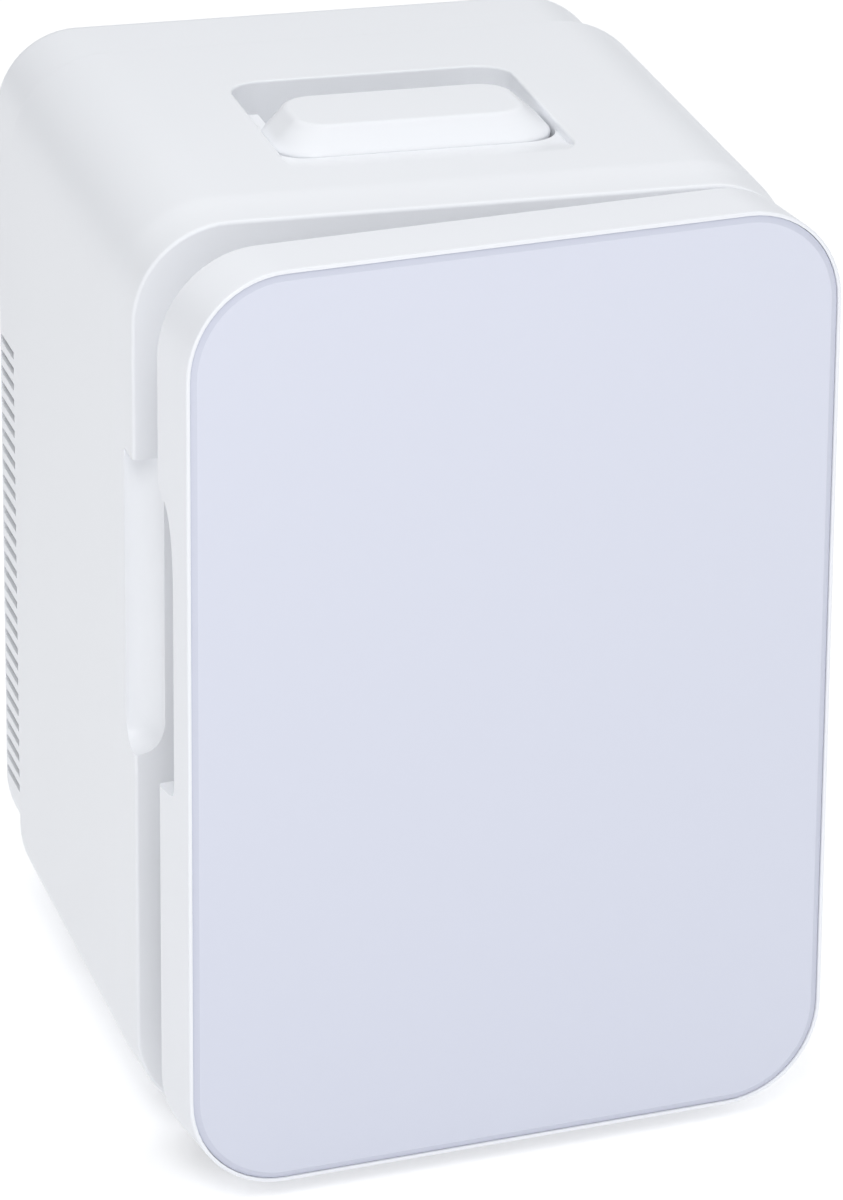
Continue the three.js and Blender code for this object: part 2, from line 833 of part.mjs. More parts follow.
function innerFanCover(fanFront) {
  const front = fanFront - 3 - linerWall;
  const back = cavityBack - touchGap;
  const loop = (grow, y) => (
    standing(fanCoverWidth + 2 * grow, fanCoverHeight + 2 * grow, 10 + grow, y, 0, cavityMiddle)
  );
  const tray = skin([
    loop(-3, front),
    loop(-0.9, front + 0.9),
    loop(0, front + 3),
    loop(0, back),
    loop(-linerWall, back),
    loop(-linerWall, front + linerWall + 1),
    loop(-linerWall - 1, front + linerWall),
  ]);
  const slots = [];
  for (let row = -4; row <= 4; row += 1) {
    const z = cavityMiddle + row * louvrePitch;
    [[-26, -2], [2, 26]].forEach((xs) => {
      slots.push(block(xs, [front - 1, front + linerWall + 1], [z - 1.5, z + 1.5]));
    });
  }
  [-1, 1].forEach((side) => {
    const z = cavityMiddle + side * (fanCoverHeight / 2 - 12);
    slots.push(block([-40, 40], [front - 1, front + linerWall + 1], [z - 2.5, z + 2.5]));
  });
  return cut(tray, ...slots);
}

// Power board and rear fittings

function powerBoard() {
  const front = bulkheadBack + pegLength + touchGap;
  return panelBlock(board.width, board.height, [front, front + boardThickness], 0, boardMiddle);
}

function boardParts() {
  const face = bulkheadBack + pegLength + 2 * touchGap + boardThickness;
  const on = (width, height, tall, x, rise) => (
    panelBlock(width, height, [face, face + tall], x, boardMiddle + rise)
  );
  const canMiddle = boardMiddle + 4;
  const can = rod(8, [22, face, canMiddle], [22, face + 22, canMiddle]);
  return [
    meshOf('board_transformer', on(34, 30, 22, -26, 6), 'blackPlastic'),
    meshOf('board_capacitor', can, 'blackPlastic'),
    meshOf('board_heat_plate', on(3, 34, 20, 52, 4), 'aluminium'),
  ];
}

function flangedFitting({ width, height, flange, depth }, { x, z }) {
  const up = cabinetBase + z;
  const back = cabinetDepth + touchGap;
  return joined(
    panelBlock(width, height, [back - depth, back + 0.5], x, up),
    skin([
      standing(width + 2 * flange, height + 2 * flange, 3, back, x, up),
      standing(width + 2 * flange, height + 2 * flange, 3, back + 1, x, up),
      standing(width + 2 * flange - 1.4, height + 2 * flange - 1.4, 2.6, back + 1.8, x, up),
    ]),
  );
}

function mainsInlet() {
  const { x } = inletPlace;
  const z = cabinetBase + inletPlace.z;
  const deep = cabinetDepth - inletMouth.depth;
  const mouth = skin([deep, cabinetDepth + 5].map((y) => (
    standing(inletMouth.width, inletMouth.height, inletMouth.corner, y, x, z)
  )));
  const pins = [-inletMouth.pinOffset, inletMouth.pinOffset].map((offset) => (
    rod(inletMouth.pinRadius, [x + offset, deep - 1, z], [x + offset, cabinetDepth - 2, z], smallSides)
  ));
  return joined(cut(flangedFitting(inlet, inletPlace), mouth), ...pins);
}

function lowVoltageSocket() {
  const { x } = socketPlace;
  const z = cabinetBase + socketPlace.z;
  const at = (y) => [x, y, z];
  const back = cabinetDepth + touchGap;
  return joined(
    cut(
      joined(
        rod(socket.barrel, at(back - socket.depth), at(back + 0.5)),
        rod(socket.flange, at(back), at(back + 1.6)),
      ),
      rod(socket.mouth, at(back - socket.mouthDepth), at(back + 5), smallSides),
    ),
    rod(socket.pin, at(back - socket.mouthDepth - 1), at(back - 2), smallSides),
  );
}

function switchBezel() {
  const { x } = switchPlace;
  const z = cabinetBase + switchPlace.z;
  const depths = [cabinetDepth - bezel.openDepth, cabinetDepth + 5];
  const inside = panelBlock(bezel.openWidth, bezel.openHeight, depths, x, z);
  return cut(flangedFitting(bezel, switchPlace), inside);
}

// Rocker with a shallow V face. It tips about an upright axis inside its bezel.
function modeRocker() {
  const z = cabinetBase + switchPlace.z;
  const back = cabinetDepth + touchGap;
  const profile = [
    [-9, back + 3.2],
    [-8.4, back - 1],
    [-3, back - 8],
    [3, back - 8],
    [8.4, back - 1],
    [9, back + 3.2],
    [0, back + 1.4],
  ];
  const geometry = new THREE.ExtrudeGeometry(polygon(profile), {
    depth: rockerHeight,
    bevelEnabled: false,
  });
  geometry.translate(switchPlace.x, 0, z - rockerHeight / 2);
  return solidOf(geometry);
}

function lens({ x, z }) {
  const up = cabinetBase + z;
  const back = cabinetDepth + 0.8;
  return joined(
    rod(lensRadius, [x, cabinetDepth - coverWall - 3, up], [x, back - 0.4, up], smallSides),
    rod(1.5, [x, back - 1, up], [x, back, up], smallSides),
  );
}

// Hinge

function hingeBracket(z) {
  const plateFront = shellWall + touchGap;
  const plateBack = plateFront + bracketThickness;
  const thick = [z - earThickness / 2, z + earThickness / 2];
  const left = hingeX - earOffset;
  const plate = block(
    [hingeX - bracketInboard, hingeX + bracketOutboard],
    [plateFront, plateBack],
    [z - bracketHalfHeight, z + bracketHalfHeight],
  );
  const neck = block([left, left + earNeck], [hingeY, plateBack - 0.5], thick);
  const eye = rod(earRadius, [hingeX, hingeY, thick[0]], [hingeX, hingeY, thick[1]]);
  const bore = rod(
    hingePinRadius + touchGap,
    [hingeX, hingeY, thick[0] - 1],
    [hingeX, hingeY, thick[1] + 1],
    smallSides,
  );
  const screwHoles = hingeScrewPlaces(z).map(([x, height]) => (
    rod(screwShankRadius + touchGap, [x, 0, height], [x, plateBack + 1, height], smallSides)
  ));
  return cut(joined(plate, neck, eye), bore, ...screwHoles);
}

function hingePin(z) {
  const half = hingePinLength / 2;
  return rod(hingePinRadius, [hingeX, hingeY, z - half], [hingeX, hingeY, z + half], smallSides);
}

function hingeScrew([x, z]) {
  return joined(
    rod(hingeScrewHead, [x, 0.1, z], [x, 1, z], smallSides),
    rod(screwShankRadius, [x, 0.5, z], [x, shellWall + bracketThickness + 6, z], smallSides),
  );
}

function hingeNodes() {
  return eachHinge((z, level) => [
    meshOf(`hinge_bracket_${level}`, hingeBracket(z), 'steel'),
    meshOf(`hinge_pin_${level}`, hingePin(z), 'steel'),
    ...hingeScrewPlaces(z).map((place, index) => (
      meshOf(`hinge_screw_${level}_${index + 1}`, hingeScrew(place), 'steel')
    )),
  ]);
}

// Door, laid out closed; its group turns it ajar about the hinge pins

function doorLoop(inset, y) {
  return standing(
    doorWidth - 2 * inset,
    doorHeight - 2 * inset,
    cabinetCorner - inset,
    y,
    doorShift,
    doorMiddle,
  );
}

function doorOuterLoops() {
  return [
    doorLoop(doorFrontEdge, doorFront),
    doorLoop(0.3 * doorFrontEdge, doorFront + 0.3 * doorFrontEdge),
    doorLoop(0, doorFront + doorFrontEdge),
    doorLoop(0, doorBack - doorBackEdge),
    doorLoop(0.3 * doorBackEdge, doorBack - 0.3 * doorBackEdge),
    doorLoop(doorBackEdge, doorBack),
  ];
}

// Grip notch: an upright slot with a rounded foot and a top that sweeps out to the back edge.
function notchCutter() {
  const bottom = cabinetBase + notchBottom;
  const top = cabinetBase + notchTop;
  const deep = doorBack - notchForward;
  const at = (share) => doorBack - share * notchForward;
  const shape = new THREE.Shape();
  shape.moveTo(doorBack + 1, top);
  shape.lineTo(doorBack, top);
  shape.bezierCurveTo(at(0.04), top - 12, at(0.05), top - 16.5, at(0.32), top - 18.2);
  shape.bezierCurveTo(at(0.76), top - 21, deep, top - 31, deep, top - 52);
  shape.lineTo(deep, bottom + notchCorner);
  shape.quadraticCurveTo(deep, bottom, deep + notchCorner, bottom);
  shape.lineTo(doorBack + 1, bottom);
  return pulledAlongX(shape, doorLeft - 1, doorLeft + notchAcross);
}

function notchBacking(grow) {
  const wall = doorWall + grow;
  return block(
    [doorLeft + 1, doorLeft + notchAcross + wall],
    [doorBack - notchForward - wall, doorBack],
    [cabinetBase + notchBottom - wall, cabinetBase + notchTop + wall],
  );
}

function hingeBacking(z, grow) {
  return block(
    [hingeX - 8 - grow, doorRight - 0.5],
    [hingeY - 8 - grow, doorBack],
    [z - hingePinLength / 2 - 3 - grow, z + hingePinLength / 2 + 3 + grow],
  );
}

// Room for one hinge ear: from behind it round to the door's side, for the whole travel.
function hingeSlot(z) {
  const half = earThickness / 2 + 0.5;
  const reach = Math.hypot(earRadius, hingeForward) * Math.sin((doorTravel - 90) * Math.PI / 180);
  const side = earRadius + 1;
  const heights = [z - half, z + half];
  return joined(
    block([hingeX - side, doorRight + 1], [hingeY - side - reach, hingeY + side], heights),
    block([hingeX - side, doorRight + 1], [hingeY, doorBack + 1], heights),
  );
}

function hingeBore(z) {
  const half = hingePinLength / 2 + touchGap;
  const bottom = [hingeX, hingeY, z - half];
  return rod(hingePinRadius + touchGap, bottom, [hingeX, hingeY, z + half], smallSides);
}

// Rounds the door's back right edge about the hinge axis, so that it clears the rim.
function hingeEdgeCutter() {
  const clear = hingeForward - 0.6;
  const heights = [cabinetBase - 5, cabinetTop + 5];
  return cut(
    block([hingeX, doorRight + 2], [hingeY, doorBack + 2], heights),
    rod(clear, [hingeX, hingeY, heights[0] - 1], [hingeX, hingeY, heights[1] + 1], 32),
  );
}

function doorFrame() {
  const ring = skin([
    ...doorOuterLoops(),
    doorLoop(doorLip, doorBack),
    doorLoop(doorLip, doorBack - doorLipThickness),
    doorLoop(doorWall, doorBack - doorLipThickness),
    doorLoop(doorWall, ledgeBack),
    doorLoop(glassLedge, ledgeBack),
    doorLoop(glassLedge, ledgeFront),
    doorLoop(glassInset - glassGap, ledgeFront),
    doorLoop(glassInset - glassGap, doorFront),
  ], true);
  const envelope = skin(doorOuterLoops());
  const backings = [notchBacking(0), ...eachHinge((z) => [hingeBacking(z, 0)])];
  return cut(
    joined(ring, ...backings.map((backing) => backing.intersect(envelope))),
    notchCutter(),
    hingeEdgeCutter(),
    ...eachHinge((z) => [hingeSlot(z), hingeBore(z)]),
  );
}

function doorGlass() {
  const back = doorFront + glassThickness;
  return skin([
    doorLoop(glassInset + glassBevel, doorFront),
    doorLoop(glassInset, doorFront + glassBevelDepth),
    doorLoop(glassInset, back),
  ]);
}

function plugLoop(inset, y) {
  return standing(
    plugWidth - 2 * inset,
    plugHeight - 2 * inset,
    cavityCorner - plugClearance - inset,
    y,
    doorShift,
    cavityMiddle,
  );
}

function roomForBackings(grow) {
  return [notchBacking(grow), ...eachHinge((z) => [hingeBacking(z, grow)])];
}

function rackPlaces() {
  return rackHeights.map((height) => cavityMiddle - pocketHeight / 2 + height);
}

function rackLedges() {
  const left = doorShift - pocketWidth / 2;
  const right = doorShift + pocketWidth / 2;
  const depths = [doorBack - doorPocketDepth + 2, plugRise - 4];
  return rackPlaces().flatMap((z) => [
    block([left - 1, left + 6], depths, [z - 3 - touchGap, z - touchGap]),
    block([right - 6, right + 1], depths, [z - 3 - touchGap, z - touchGap]),
  ]);
}

// Inner door panel: a flange under the frame's lip, a raised plug rim and a pocket for the racks.
function doorPanel() {
  const pocketBack = doorBack - doorPocketDepth;
  const flange = doorWall + touchGap;
  const round = 1.5;
  const sheet = skin([
    plugLoop(plugRim, pocketBack),
    plugLoop(plugRim, plugRise - round),
    plugLoop(plugRim - round, plugRise),
    plugLoop(round, plugRise),
    plugLoop(0, plugRise - round),
    plugLoop(0, flangeBack),
    doorLoop(flange, flangeBack),
    doorLoop(flange, flangeBack - panelWall),
    plugLoop(panelWall, flangeBack - panelWall),
    plugLoop(panelWall, plugRise - panelWall),
    plugLoop(plugRim - panelWall, plugRise - panelWall),
    plugLoop(plugRim - panelWall, pocketBack - panelWall),
  ]);
  return cut(joined(sheet, ...rackLedges()), ...roomForBackings(touchGap));
}

function doorFoam() {
  const front = ledgeFront;
  const behindLedge = ledgeBack + touchGap;
  const flange = doorWall + touchGap;
  const back = flangeBack - panelWall - touchGap;
  const skinGap = panelWall + touchGap;
  const core = skin([
    doorLoop(glassLedge + touchGap, front),
    doorLoop(glassLedge + touchGap, behindLedge),
    doorLoop(flange, behindLedge),
    doorLoop(flange, back),
    plugLoop(skinGap, back),
    plugLoop(skinGap, plugRise - skinGap),
    plugLoop(plugRim - skinGap, plugRise - skinGap),
    plugLoop(plugRim - skinGap, doorBack - doorPocketDepth - skinGap),
  ]);
  return cut(core, ...roomForBackings(touchGap));
}

function doorGasket() {
  const front = flangeBack + touchGap;
  const edge = 1.2;
  return skin([
    doorLoop(gasketInset, front),
    doorLoop(gasketInset, -touchGap - edge),
    doorLoop(gasketInset + edge, -touchGap),
    doorLoop(gasketInset + gasketWidth - edge, -touchGap),
    doorLoop(gasketInset + gasketWidth, -touchGap - edge),
    doorLoop(gasketInset + gasketWidth, front),
  ], true);
}

function doorRack(z) {
  const half = pocketWidth / 2 - looseGap;
  const depths = [doorBack - doorPocketDepth + touchGap, plugRise - 2];
  const xs = [doorShift - half, doorShift + half];
  const inner = [depths[0] + rackWall, depths[1] - rackWall];
  const room = block([xs[0] + rackWall, xs[1] - rackWall], inner, [z + rackWall, z + 2 * rackHeight]);
  const frontDip = block(
    [xs[0] + 14, xs[1] - 14],
    [inner[1] - 1, depths[1] + 1],
    [z + 0.72 * rackHeight, z + 2 * rackHeight],
  );
  return cut(block(xs, depths, [z, z + rackHeight]), room, frontDip);
}

function doorNodes() {
  return [
    meshOf('door_frame', doorFrame(), 'doorPlastic'),
    meshOf('door_glass', doorGlass(), 'whiteGlass'),
    meshOf('door_foam', doorFoam(), 'foam'),
    meshOf('door_inner_panel', doorPanel(), 'linerPlastic'),
    meshOf('door_gasket', doorGasket(), 'seal'),
    ...rackPlaces().map((z, index) => (
      meshOf(`door_rack_${['lower', 'upper'][index]}`, doorRack(z), 'rackPlastic')
    )),
  ];
}

// Carry handle

function carryHandle() {
  const length = recessWidth - 2 * looseGap;
  const front = pocketFront + looseGap;
  const back = front + handleDepth;
  const top = cabinetTop + handleRise;
  const layer = (z, endInset, frontInset, backInset) => lying(
    length - 2 * endInset,
    back - front - frontInset - backInset,
    handleCorner - 0.5 * endInset,
    z,
    0,
    (front + frontInset + back - backInset) / 2,
  );
  const bar = skin([
    layer(cabinetTop - handleUnderside, 0, 0, 1),
    layer(cabinetTop - handleBevelFoot, 0, 0, 0),
    layer(top - 0.8, handleEndBevel - 1.2, handleFrontBevel - 1, 0),
    layer(top - 0.2, handleEndBevel - 0.5, handleFrontBevel - 0.4, 0.3),
    layer(top, handleEndBevel, handleFrontBevel, 1),
  ]);
  const arms = [-1, 1].flatMap((side) => {
    const xs = [side * (length / 2 - armWidth), side * length / 2].sort((a, b) => a - b);
    const low = pivotZ - armRadius;
    return [
      block(xs, [back - 20, back - 8], [low, cabinetTop - handleUnderside + 1]),
      block(xs, [back - 20, pivotY], [low, pivotZ + armRadius]),
      rod(armRadius, [xs[0], pivotY, pivotZ], [xs[1], pivotY, pivotZ]),
    ];
  });
  const bore = rod(
    handlePinRadius + touchGap,
    [-length, pivotY, pivotZ],
    [length, pivotY, pivotZ],
    smallSides,
  );
  return cut(joined(bar, ...arms), bore);
}

function handlePin(side) {
  const inner = recessWidth / 2 - looseGap - armWidth + 1;
  const outer = recessWidth / 2 + recessWall - touchGap;
  return rod(
    handlePinRadius,
    [side * inner, pivotY, pivotZ],
    [side * outer, pivotY, pivotZ],
    smallSides,
  );
}

// The whole object

function cabinetNodes() {
  return [
    meshOf('cabinet_shell', cabinetShell(), 'whitePlastic'),
    meshOf('cabinet_liner', cabinetLiner(), 'linerPlastic'),
    meshOf('cabinet_foam', cabinetFoam(), 'foam'),
    meshOf('bulkhead', bulkhead(), 'whitePlastic'),
    meshOf('rear_cover', rearCover(), 'whitePlastic'),
    meshOf('shelf', shelf(), 'rackPlastic'),
    ...Object.entries(footPlaces()).map(([place, at]) => (
      meshOf(`foot_${place}`, foot(at), 'rubber')
    )),
    ...coverScrewPlaces().map((place, index) => (
      meshOf(`cover_screw_${index + 1}`, coverScrew(place), 'steel')
    )),
    meshOf('handle_pin_left', handlePin(-1), 'steel'),
    meshOf('handle_pin_right', handlePin(1), 'steel'),
  ];
}

function rearFittings() {
  return [
    meshOf('power_board', powerBoard(), 'board'),
    ...boardParts(),
    meshOf('mains_inlet', mainsInlet(), 'blackPlastic'),
    meshOf('low_voltage_socket', lowVoltageSocket(), 'blackPlastic'),
    meshOf('switch_bezel', switchBezel(), 'blackPlastic'),
    meshOf('indicator_lens_cool', lens(lensPlaces.cool), 'coolLens'),
    meshOf('indicator_lens_warm', lens(lensPlaces.warm), 'warmLens'),
  ];
}

function moving(...meshes) {
  const group = new THREE.Group();
  group.add(...meshes);
  return group;
}

const cooling = coolingUnit();
const fridge = new THREE.Group();
fridge.add(...cabinetNodes(), ...rearFittings(), ...hingeNodes(), ...cooling.fixed);
fridge.add(moving(cooling.coldRotor), moving(cooling.hotRotor));
fridge.add(moving(meshOf('mode_switch', modeRocker(), 'blackPlastic')));
fridge.add(moving(meshOf('carry_handle', carryHandle(), 'whitePlastic')));

const closedDoor = moving(...doorNodes());
closedDoor.position.set(-hingeX, -hingeY, 0);
const door = moving(closedDoor);
door.position.set(hingeX, hingeY, 0);
door.rotation.z = THREE.MathUtils.degToRad(doorAjar);
fridge.add(door);

// The origin is the bottom centre of the box round the object with its door ajar.
const extent = new THREE.Box3().setFromObject(fridge, true);
fridge.position.set(
  -(extent.min.x + extent.max.x) / 2,
  -(extent.min.y + extent.max.y) / 2,
  -extent.min.z,
);

export default new THREE.Group().add(fridge);
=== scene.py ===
# A small white thermoelectric fridge, its door a little open.
import json
import math

import bmesh
import bpy
from mathutils import Matrix, Vector


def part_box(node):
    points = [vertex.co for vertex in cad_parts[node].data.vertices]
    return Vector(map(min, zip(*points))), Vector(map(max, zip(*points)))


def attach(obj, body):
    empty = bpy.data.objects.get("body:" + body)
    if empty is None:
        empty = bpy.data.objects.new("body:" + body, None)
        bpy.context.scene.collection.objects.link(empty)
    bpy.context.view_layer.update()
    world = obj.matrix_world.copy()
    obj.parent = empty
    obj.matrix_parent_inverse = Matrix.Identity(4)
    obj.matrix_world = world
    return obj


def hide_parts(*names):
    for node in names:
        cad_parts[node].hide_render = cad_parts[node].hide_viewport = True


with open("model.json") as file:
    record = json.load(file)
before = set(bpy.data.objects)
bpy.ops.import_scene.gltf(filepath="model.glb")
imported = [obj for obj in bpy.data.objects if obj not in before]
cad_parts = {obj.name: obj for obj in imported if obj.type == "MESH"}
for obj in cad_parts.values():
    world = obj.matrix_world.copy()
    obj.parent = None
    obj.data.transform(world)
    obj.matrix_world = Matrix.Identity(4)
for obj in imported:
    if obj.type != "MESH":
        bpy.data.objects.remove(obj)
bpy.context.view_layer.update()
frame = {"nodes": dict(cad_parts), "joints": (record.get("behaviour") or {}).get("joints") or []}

# Places come from the frame. Sizes are in millimetres in the cabinet's own layout:
# x from the cabinet's middle, y back from its front rim, z up from the floor.
mm = 0.001
shellLow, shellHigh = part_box("cabinet_shell")
layoutOrigin = Vector(((shellLow.x + shellHigh.x) / 2, shellLow.y, 0))
joints = {joint["name"]: joint for joint in frame["joints"]}
doorHinge = Vector(joints["door_hinge"]["pos_m"])
doorAjar = math.radians(-joints["door_hinge"]["range_deg"][0])


def span(low, high):
    return (high - low) / mm


cabinet = {
    "width": span(shellLow.x, shellHigh.x),
    "height": span(shellLow.z, shellHigh.z),
    "base": shellLow.z / mm,
    "shellDepth": span(shellLow.y, shellHigh.y),
    "corner": 36,
    "wall": 2.5,
    "collarDepth": 27,
    "collarDrop": 1.0,
    "frontEdge": 1.4,
    "rearEdge": 2.4,
    "rim": 16.5,
}
cabinet["top"] = cabinet["base"] + cabinet["height"]
cabinet["middle"] = cabinet["base"] + cabinet["height"] / 2

gap = 0.3


# Mesh helpers

def toRow(point):
    return layoutOrigin + Vector(point) * mm


def closedDoorToRow(point):
    turn = Matrix.Rotation(doorAjar, 3, "Z")
    return doorHinge + turn @ (toRow(point) - doorHinge)


def roundedLoop(width, height, radius, steps=14):
    corner = min(max(radius, 0.4), width / 2 - 0.01, height / 2 - 0.01)
    points = []
    for index, (signU, signV) in enumerate(((1, 1), (-1, 1), (-1, -1), (1, -1))):
        for step in range(steps + 1):
            angle = (index + step / steps) * math.pi / 2
            points.append((
                signU * (width / 2 - corner) + corner * math.cos(angle),
                signV * (height / 2 - corner) + corner * math.sin(angle),
            ))
    return points


def standing(width, height, radius, y, x=0, z=0, steps=14):
    return [(x + u, y, z + v) for u, v in roundedLoop(width, height, radius, steps)]


def lying(width, length, radius, z, x=0, y=0, steps=14):
    return [(x + u, y + v, z) for u, v in roundedLoop(width, length, radius, steps)]


def arcSteps(count):
    return [index / count * math.pi / 2 for index in range(count + 1)]


def roundIn(edge, start, count):
    # pairs of inset and distance that run from a face round onto a side
    return [(edge * (1 - math.sin(a)), start + edge * (1 - math.cos(a))) for a in arcSteps(count)]


def roundOut(edge, end, count):
    # the same from a side round onto the face it ends at
    return [(edge * (1 - math.cos(a)), end - edge * (1 - math.sin(a))) for a in arcSteps(count)]


def fromLoops(loops, ring=False):
    work = bmesh.new()
    rows = [[work.verts.new(point) for point in loop] for loop in loops]
    pairs = list(zip(rows, rows[1:]))
    if ring:
        pairs.append((rows[-1], rows[0]))
    for near, far in pairs:
        count = len(near)
        for at in range(count):
            after = (at + 1) % count
            work.faces.new((near[at], near[after], far[after], far[at]))
    if not ring:
        work.faces.new(rows[0])
        work.faces.new(rows[-1])
    bmesh.ops.recalc_face_normals(work, faces=work.faces)
    return work


def blockMesh(xs, ys, zs):
    work = bmesh.new()
    bmesh.ops.create_cube(work, size=1)
    for vert in work.verts:
        vert.co = Vector((
            xs[0] if vert.co.x < 0 else xs[1],
            ys[0] if vert.co.y < 0 else ys[1],
            zs[0] if vert.co.z < 0 else zs[1],
        ))
    return work


def extrudedProfile(profile, x0, x1):
    return fromLoops([[(x, y, z) for y, z in profile] for x in (x0, x1)])


def asObject(name, work):
    mesh = bpy.data.meshes.new(name)
    work.to_mesh(mesh)
    work.free()
    made = bpy.data.objects.new(name, mesh)
    bpy.context.scene.collection.objects.link(made)
    return made


def combine(target, operation, *others):
    for other in others:
        cutter = other if isinstance(other, bpy.types.Object) else asObject("cutter", other)
        modifier = target.modifiers.new("cut", "BOOLEAN")
        modifier.operation = operation
        modifier.solver = "EXACT"
        modifier.object = cutter
        bake(target)
        bpy.data.objects.remove(cutter)
    return target


def bake(target):
    graph = bpy.context.evaluated_depsgraph_get()
    graph.update()
    mesh = bpy.data.meshes.new_from_object(target.evaluated_get(graph))
    target.modifiers.clear()
    target.data = mesh


def nodeSpan(node):
    # a cabinet node's extent in layout millimetres
    low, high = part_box(node)
    low, high = (low - layoutOrigin) / mm, (high - layoutOrigin) / mm
    return (low.x, high.x), (low.y, high.y), (low.z, high.z)


def middleOf(pair):
    return (pair[0] + pair[1]) / 2


def softBlock(xs, ys, zs, edge=0.5, corner=None):
    # a block with rounded uprights along y and a small round at both y faces
    width, height = xs[1] - xs[0], zs[1] - zs[0]
    corner = edge if corner is None else corner

    def loop(inset, y):
        return standing(
            width - 2 * inset, height - 2 * inset, corner - inset * 0.5, y, middleOf(xs), middleOf(zs), 5,
        )

    return fromLoops([loop(*pair) for pair in roundIn(edge, ys[0], 3) + roundOut(edge, ys[1], 3)])


def turnedForm(profile, centre, axis="y", sides=40, squash=(1, 1)):
    # profile of (radius, distance along the axis), turned about an axis through the centre
    loops = []
    for radius, along in profile:
        loop = []
        for index in range(sides):
            turn = 2 * math.pi * index / sides
            u, v = squash[0] * radius * math.cos(turn), squash[1] * radius * math.sin(turn)
            offset = {"x": (along, u, v), "y": (u, along, v), "z": (u, v, along)}[axis]
            loop.append(tuple(centre[k] + offset[k] for k in range(3)))
        loops.append(loop)
    return fromLoops(loops)


def roundedEnds(radius, start, end, edge):
    # lathe profile of a pin with rounded ends
    return [(radius - inset, along) for inset, along in roundIn(edge, start, 4) + roundOut(edge, end, 4)]


def rod(radius, start, end, centre, axis="y", sides=40):
    return turnedForm([(radius, start), (radius, end)], centre, axis, sides)


def joinMeshes(target, *others):
    work = bmesh.new()
    for source in (target, *others):
        work.from_mesh(source.data)
    work.to_mesh(target.data)
    work.free()
    for other in others:
        bpy.data.objects.remove(other)
    return target


# Node helpers

def fill(tree, node, inputs):
    # an input takes a value, or a link from another node's output
    for label, value in dict(inputs).items():
        if isinstance(value, bpy.types.NodeSocket):
            tree.links.new(value, node.inputs[label])
        else:
            node.inputs[label].default_value = value


def addNode(tree, kind, inputs=(), **settings):
    node = tree.nodes.new(kind)
    for name, value in settings.items():
        setattr(node, name, value)
    fill(tree, node, inputs)
    return node.outputs


def maths(tree, operation, *values):
    return addNode(tree, "ShaderNodeMath", enumerate(values), operation=operation)[0]


def startTree(name, family, inputs, outputs):
    # inputs are (label, kind, first value) and outputs are (label, kind)
    tree = bpy.data.node_groups.new(name, family)
    for label, kind, value in inputs:
        socket = tree.interface.new_socket(label, in_out="INPUT", socket_type="NodeSocket" + kind)
        if value is not None:
            socket.default_value = value
    for label, kind in outputs:
        tree.interface.new_socket(label, in_out="OUTPUT", socket_type="NodeSocket" + kind)
    return tree, addNode(tree, "NodeGroupInput")


# Geometry Nodes trees for what repeats

def startGrowth(name, *inputs):
    inputs = [("Geometry", "Geometry", None), *inputs, ("Material", "Material", None)]
    return startTree(name, "GeometryNodeTree", inputs, [("Geometry", "Geometry")])


def endGrowth(tree, given, points, instance, inputs=()):
    copies = addNode(tree, "GeometryNodeInstanceOnPoints", {
        "Points": points, "Instance": instance, **dict(inputs),
    })
    realize = addNode(tree, "GeometryNodeRealizeInstances", {"Geometry": copies["Instances"]})
    paint = addNode(tree, "GeometryNodeSetMaterial", {
        "Geometry": realize["Geometry"], "Material": given["Material"],
    })
    addNode(tree, "NodeGroupOutput", {"Geometry": paint["Geometry"]})
    return tree


def barRowTree():
    # a row of bars with rounded long edges, for slots, fins and ribs
    tree, given = startGrowth(
        "barRow", ("Length", "Float", 40), ("Width", "Float", 3), ("Thickness", "Float", 3),
        ("Fillet", "Float", 0.5), ("Count", "Int", 5), ("First", "Vector", (0, 0, 0)),
        ("Step", "Vector", (0, 0, 6)), ("Turn", "Vector", (0, 0, 0)),
    )
    start, end = [
        addNode(tree, "ShaderNodeCombineXYZ", {"X": maths(tree, "MULTIPLY", given["Length"], share)})[0]
        for share in (-0.5, 0.5)
    ]
    line = addNode(tree, "GeometryNodeCurvePrimitiveLine", {"Start": start, "End": end})
    profile = addNode(tree, "GeometryNodeCurvePrimitiveQuadrilateral", {
        "Width": given["Width"], "Height": given["Thickness"],
    })
    fillet = addNode(tree, "GeometryNodeFilletCurve", {
        "Curve": profile["Curve"], "Radius": given["Fillet"], "Count": 3,
    }, mode="POLY")
    sweep = addNode(tree, "GeometryNodeCurveToMesh", {
        "Curve": line["Curve"], "Profile Curve": fillet["Curve"], "Fill Caps": True,
    })
    row = addNode(tree, "GeometryNodeMeshLine", {
        "Count": given["Count"], "Start Location": given["First"], "Offset": given["Step"],
    })
    return endGrowth(tree, given, row["Mesh"], sweep["Mesh"], {"Rotation": given["Turn"]})


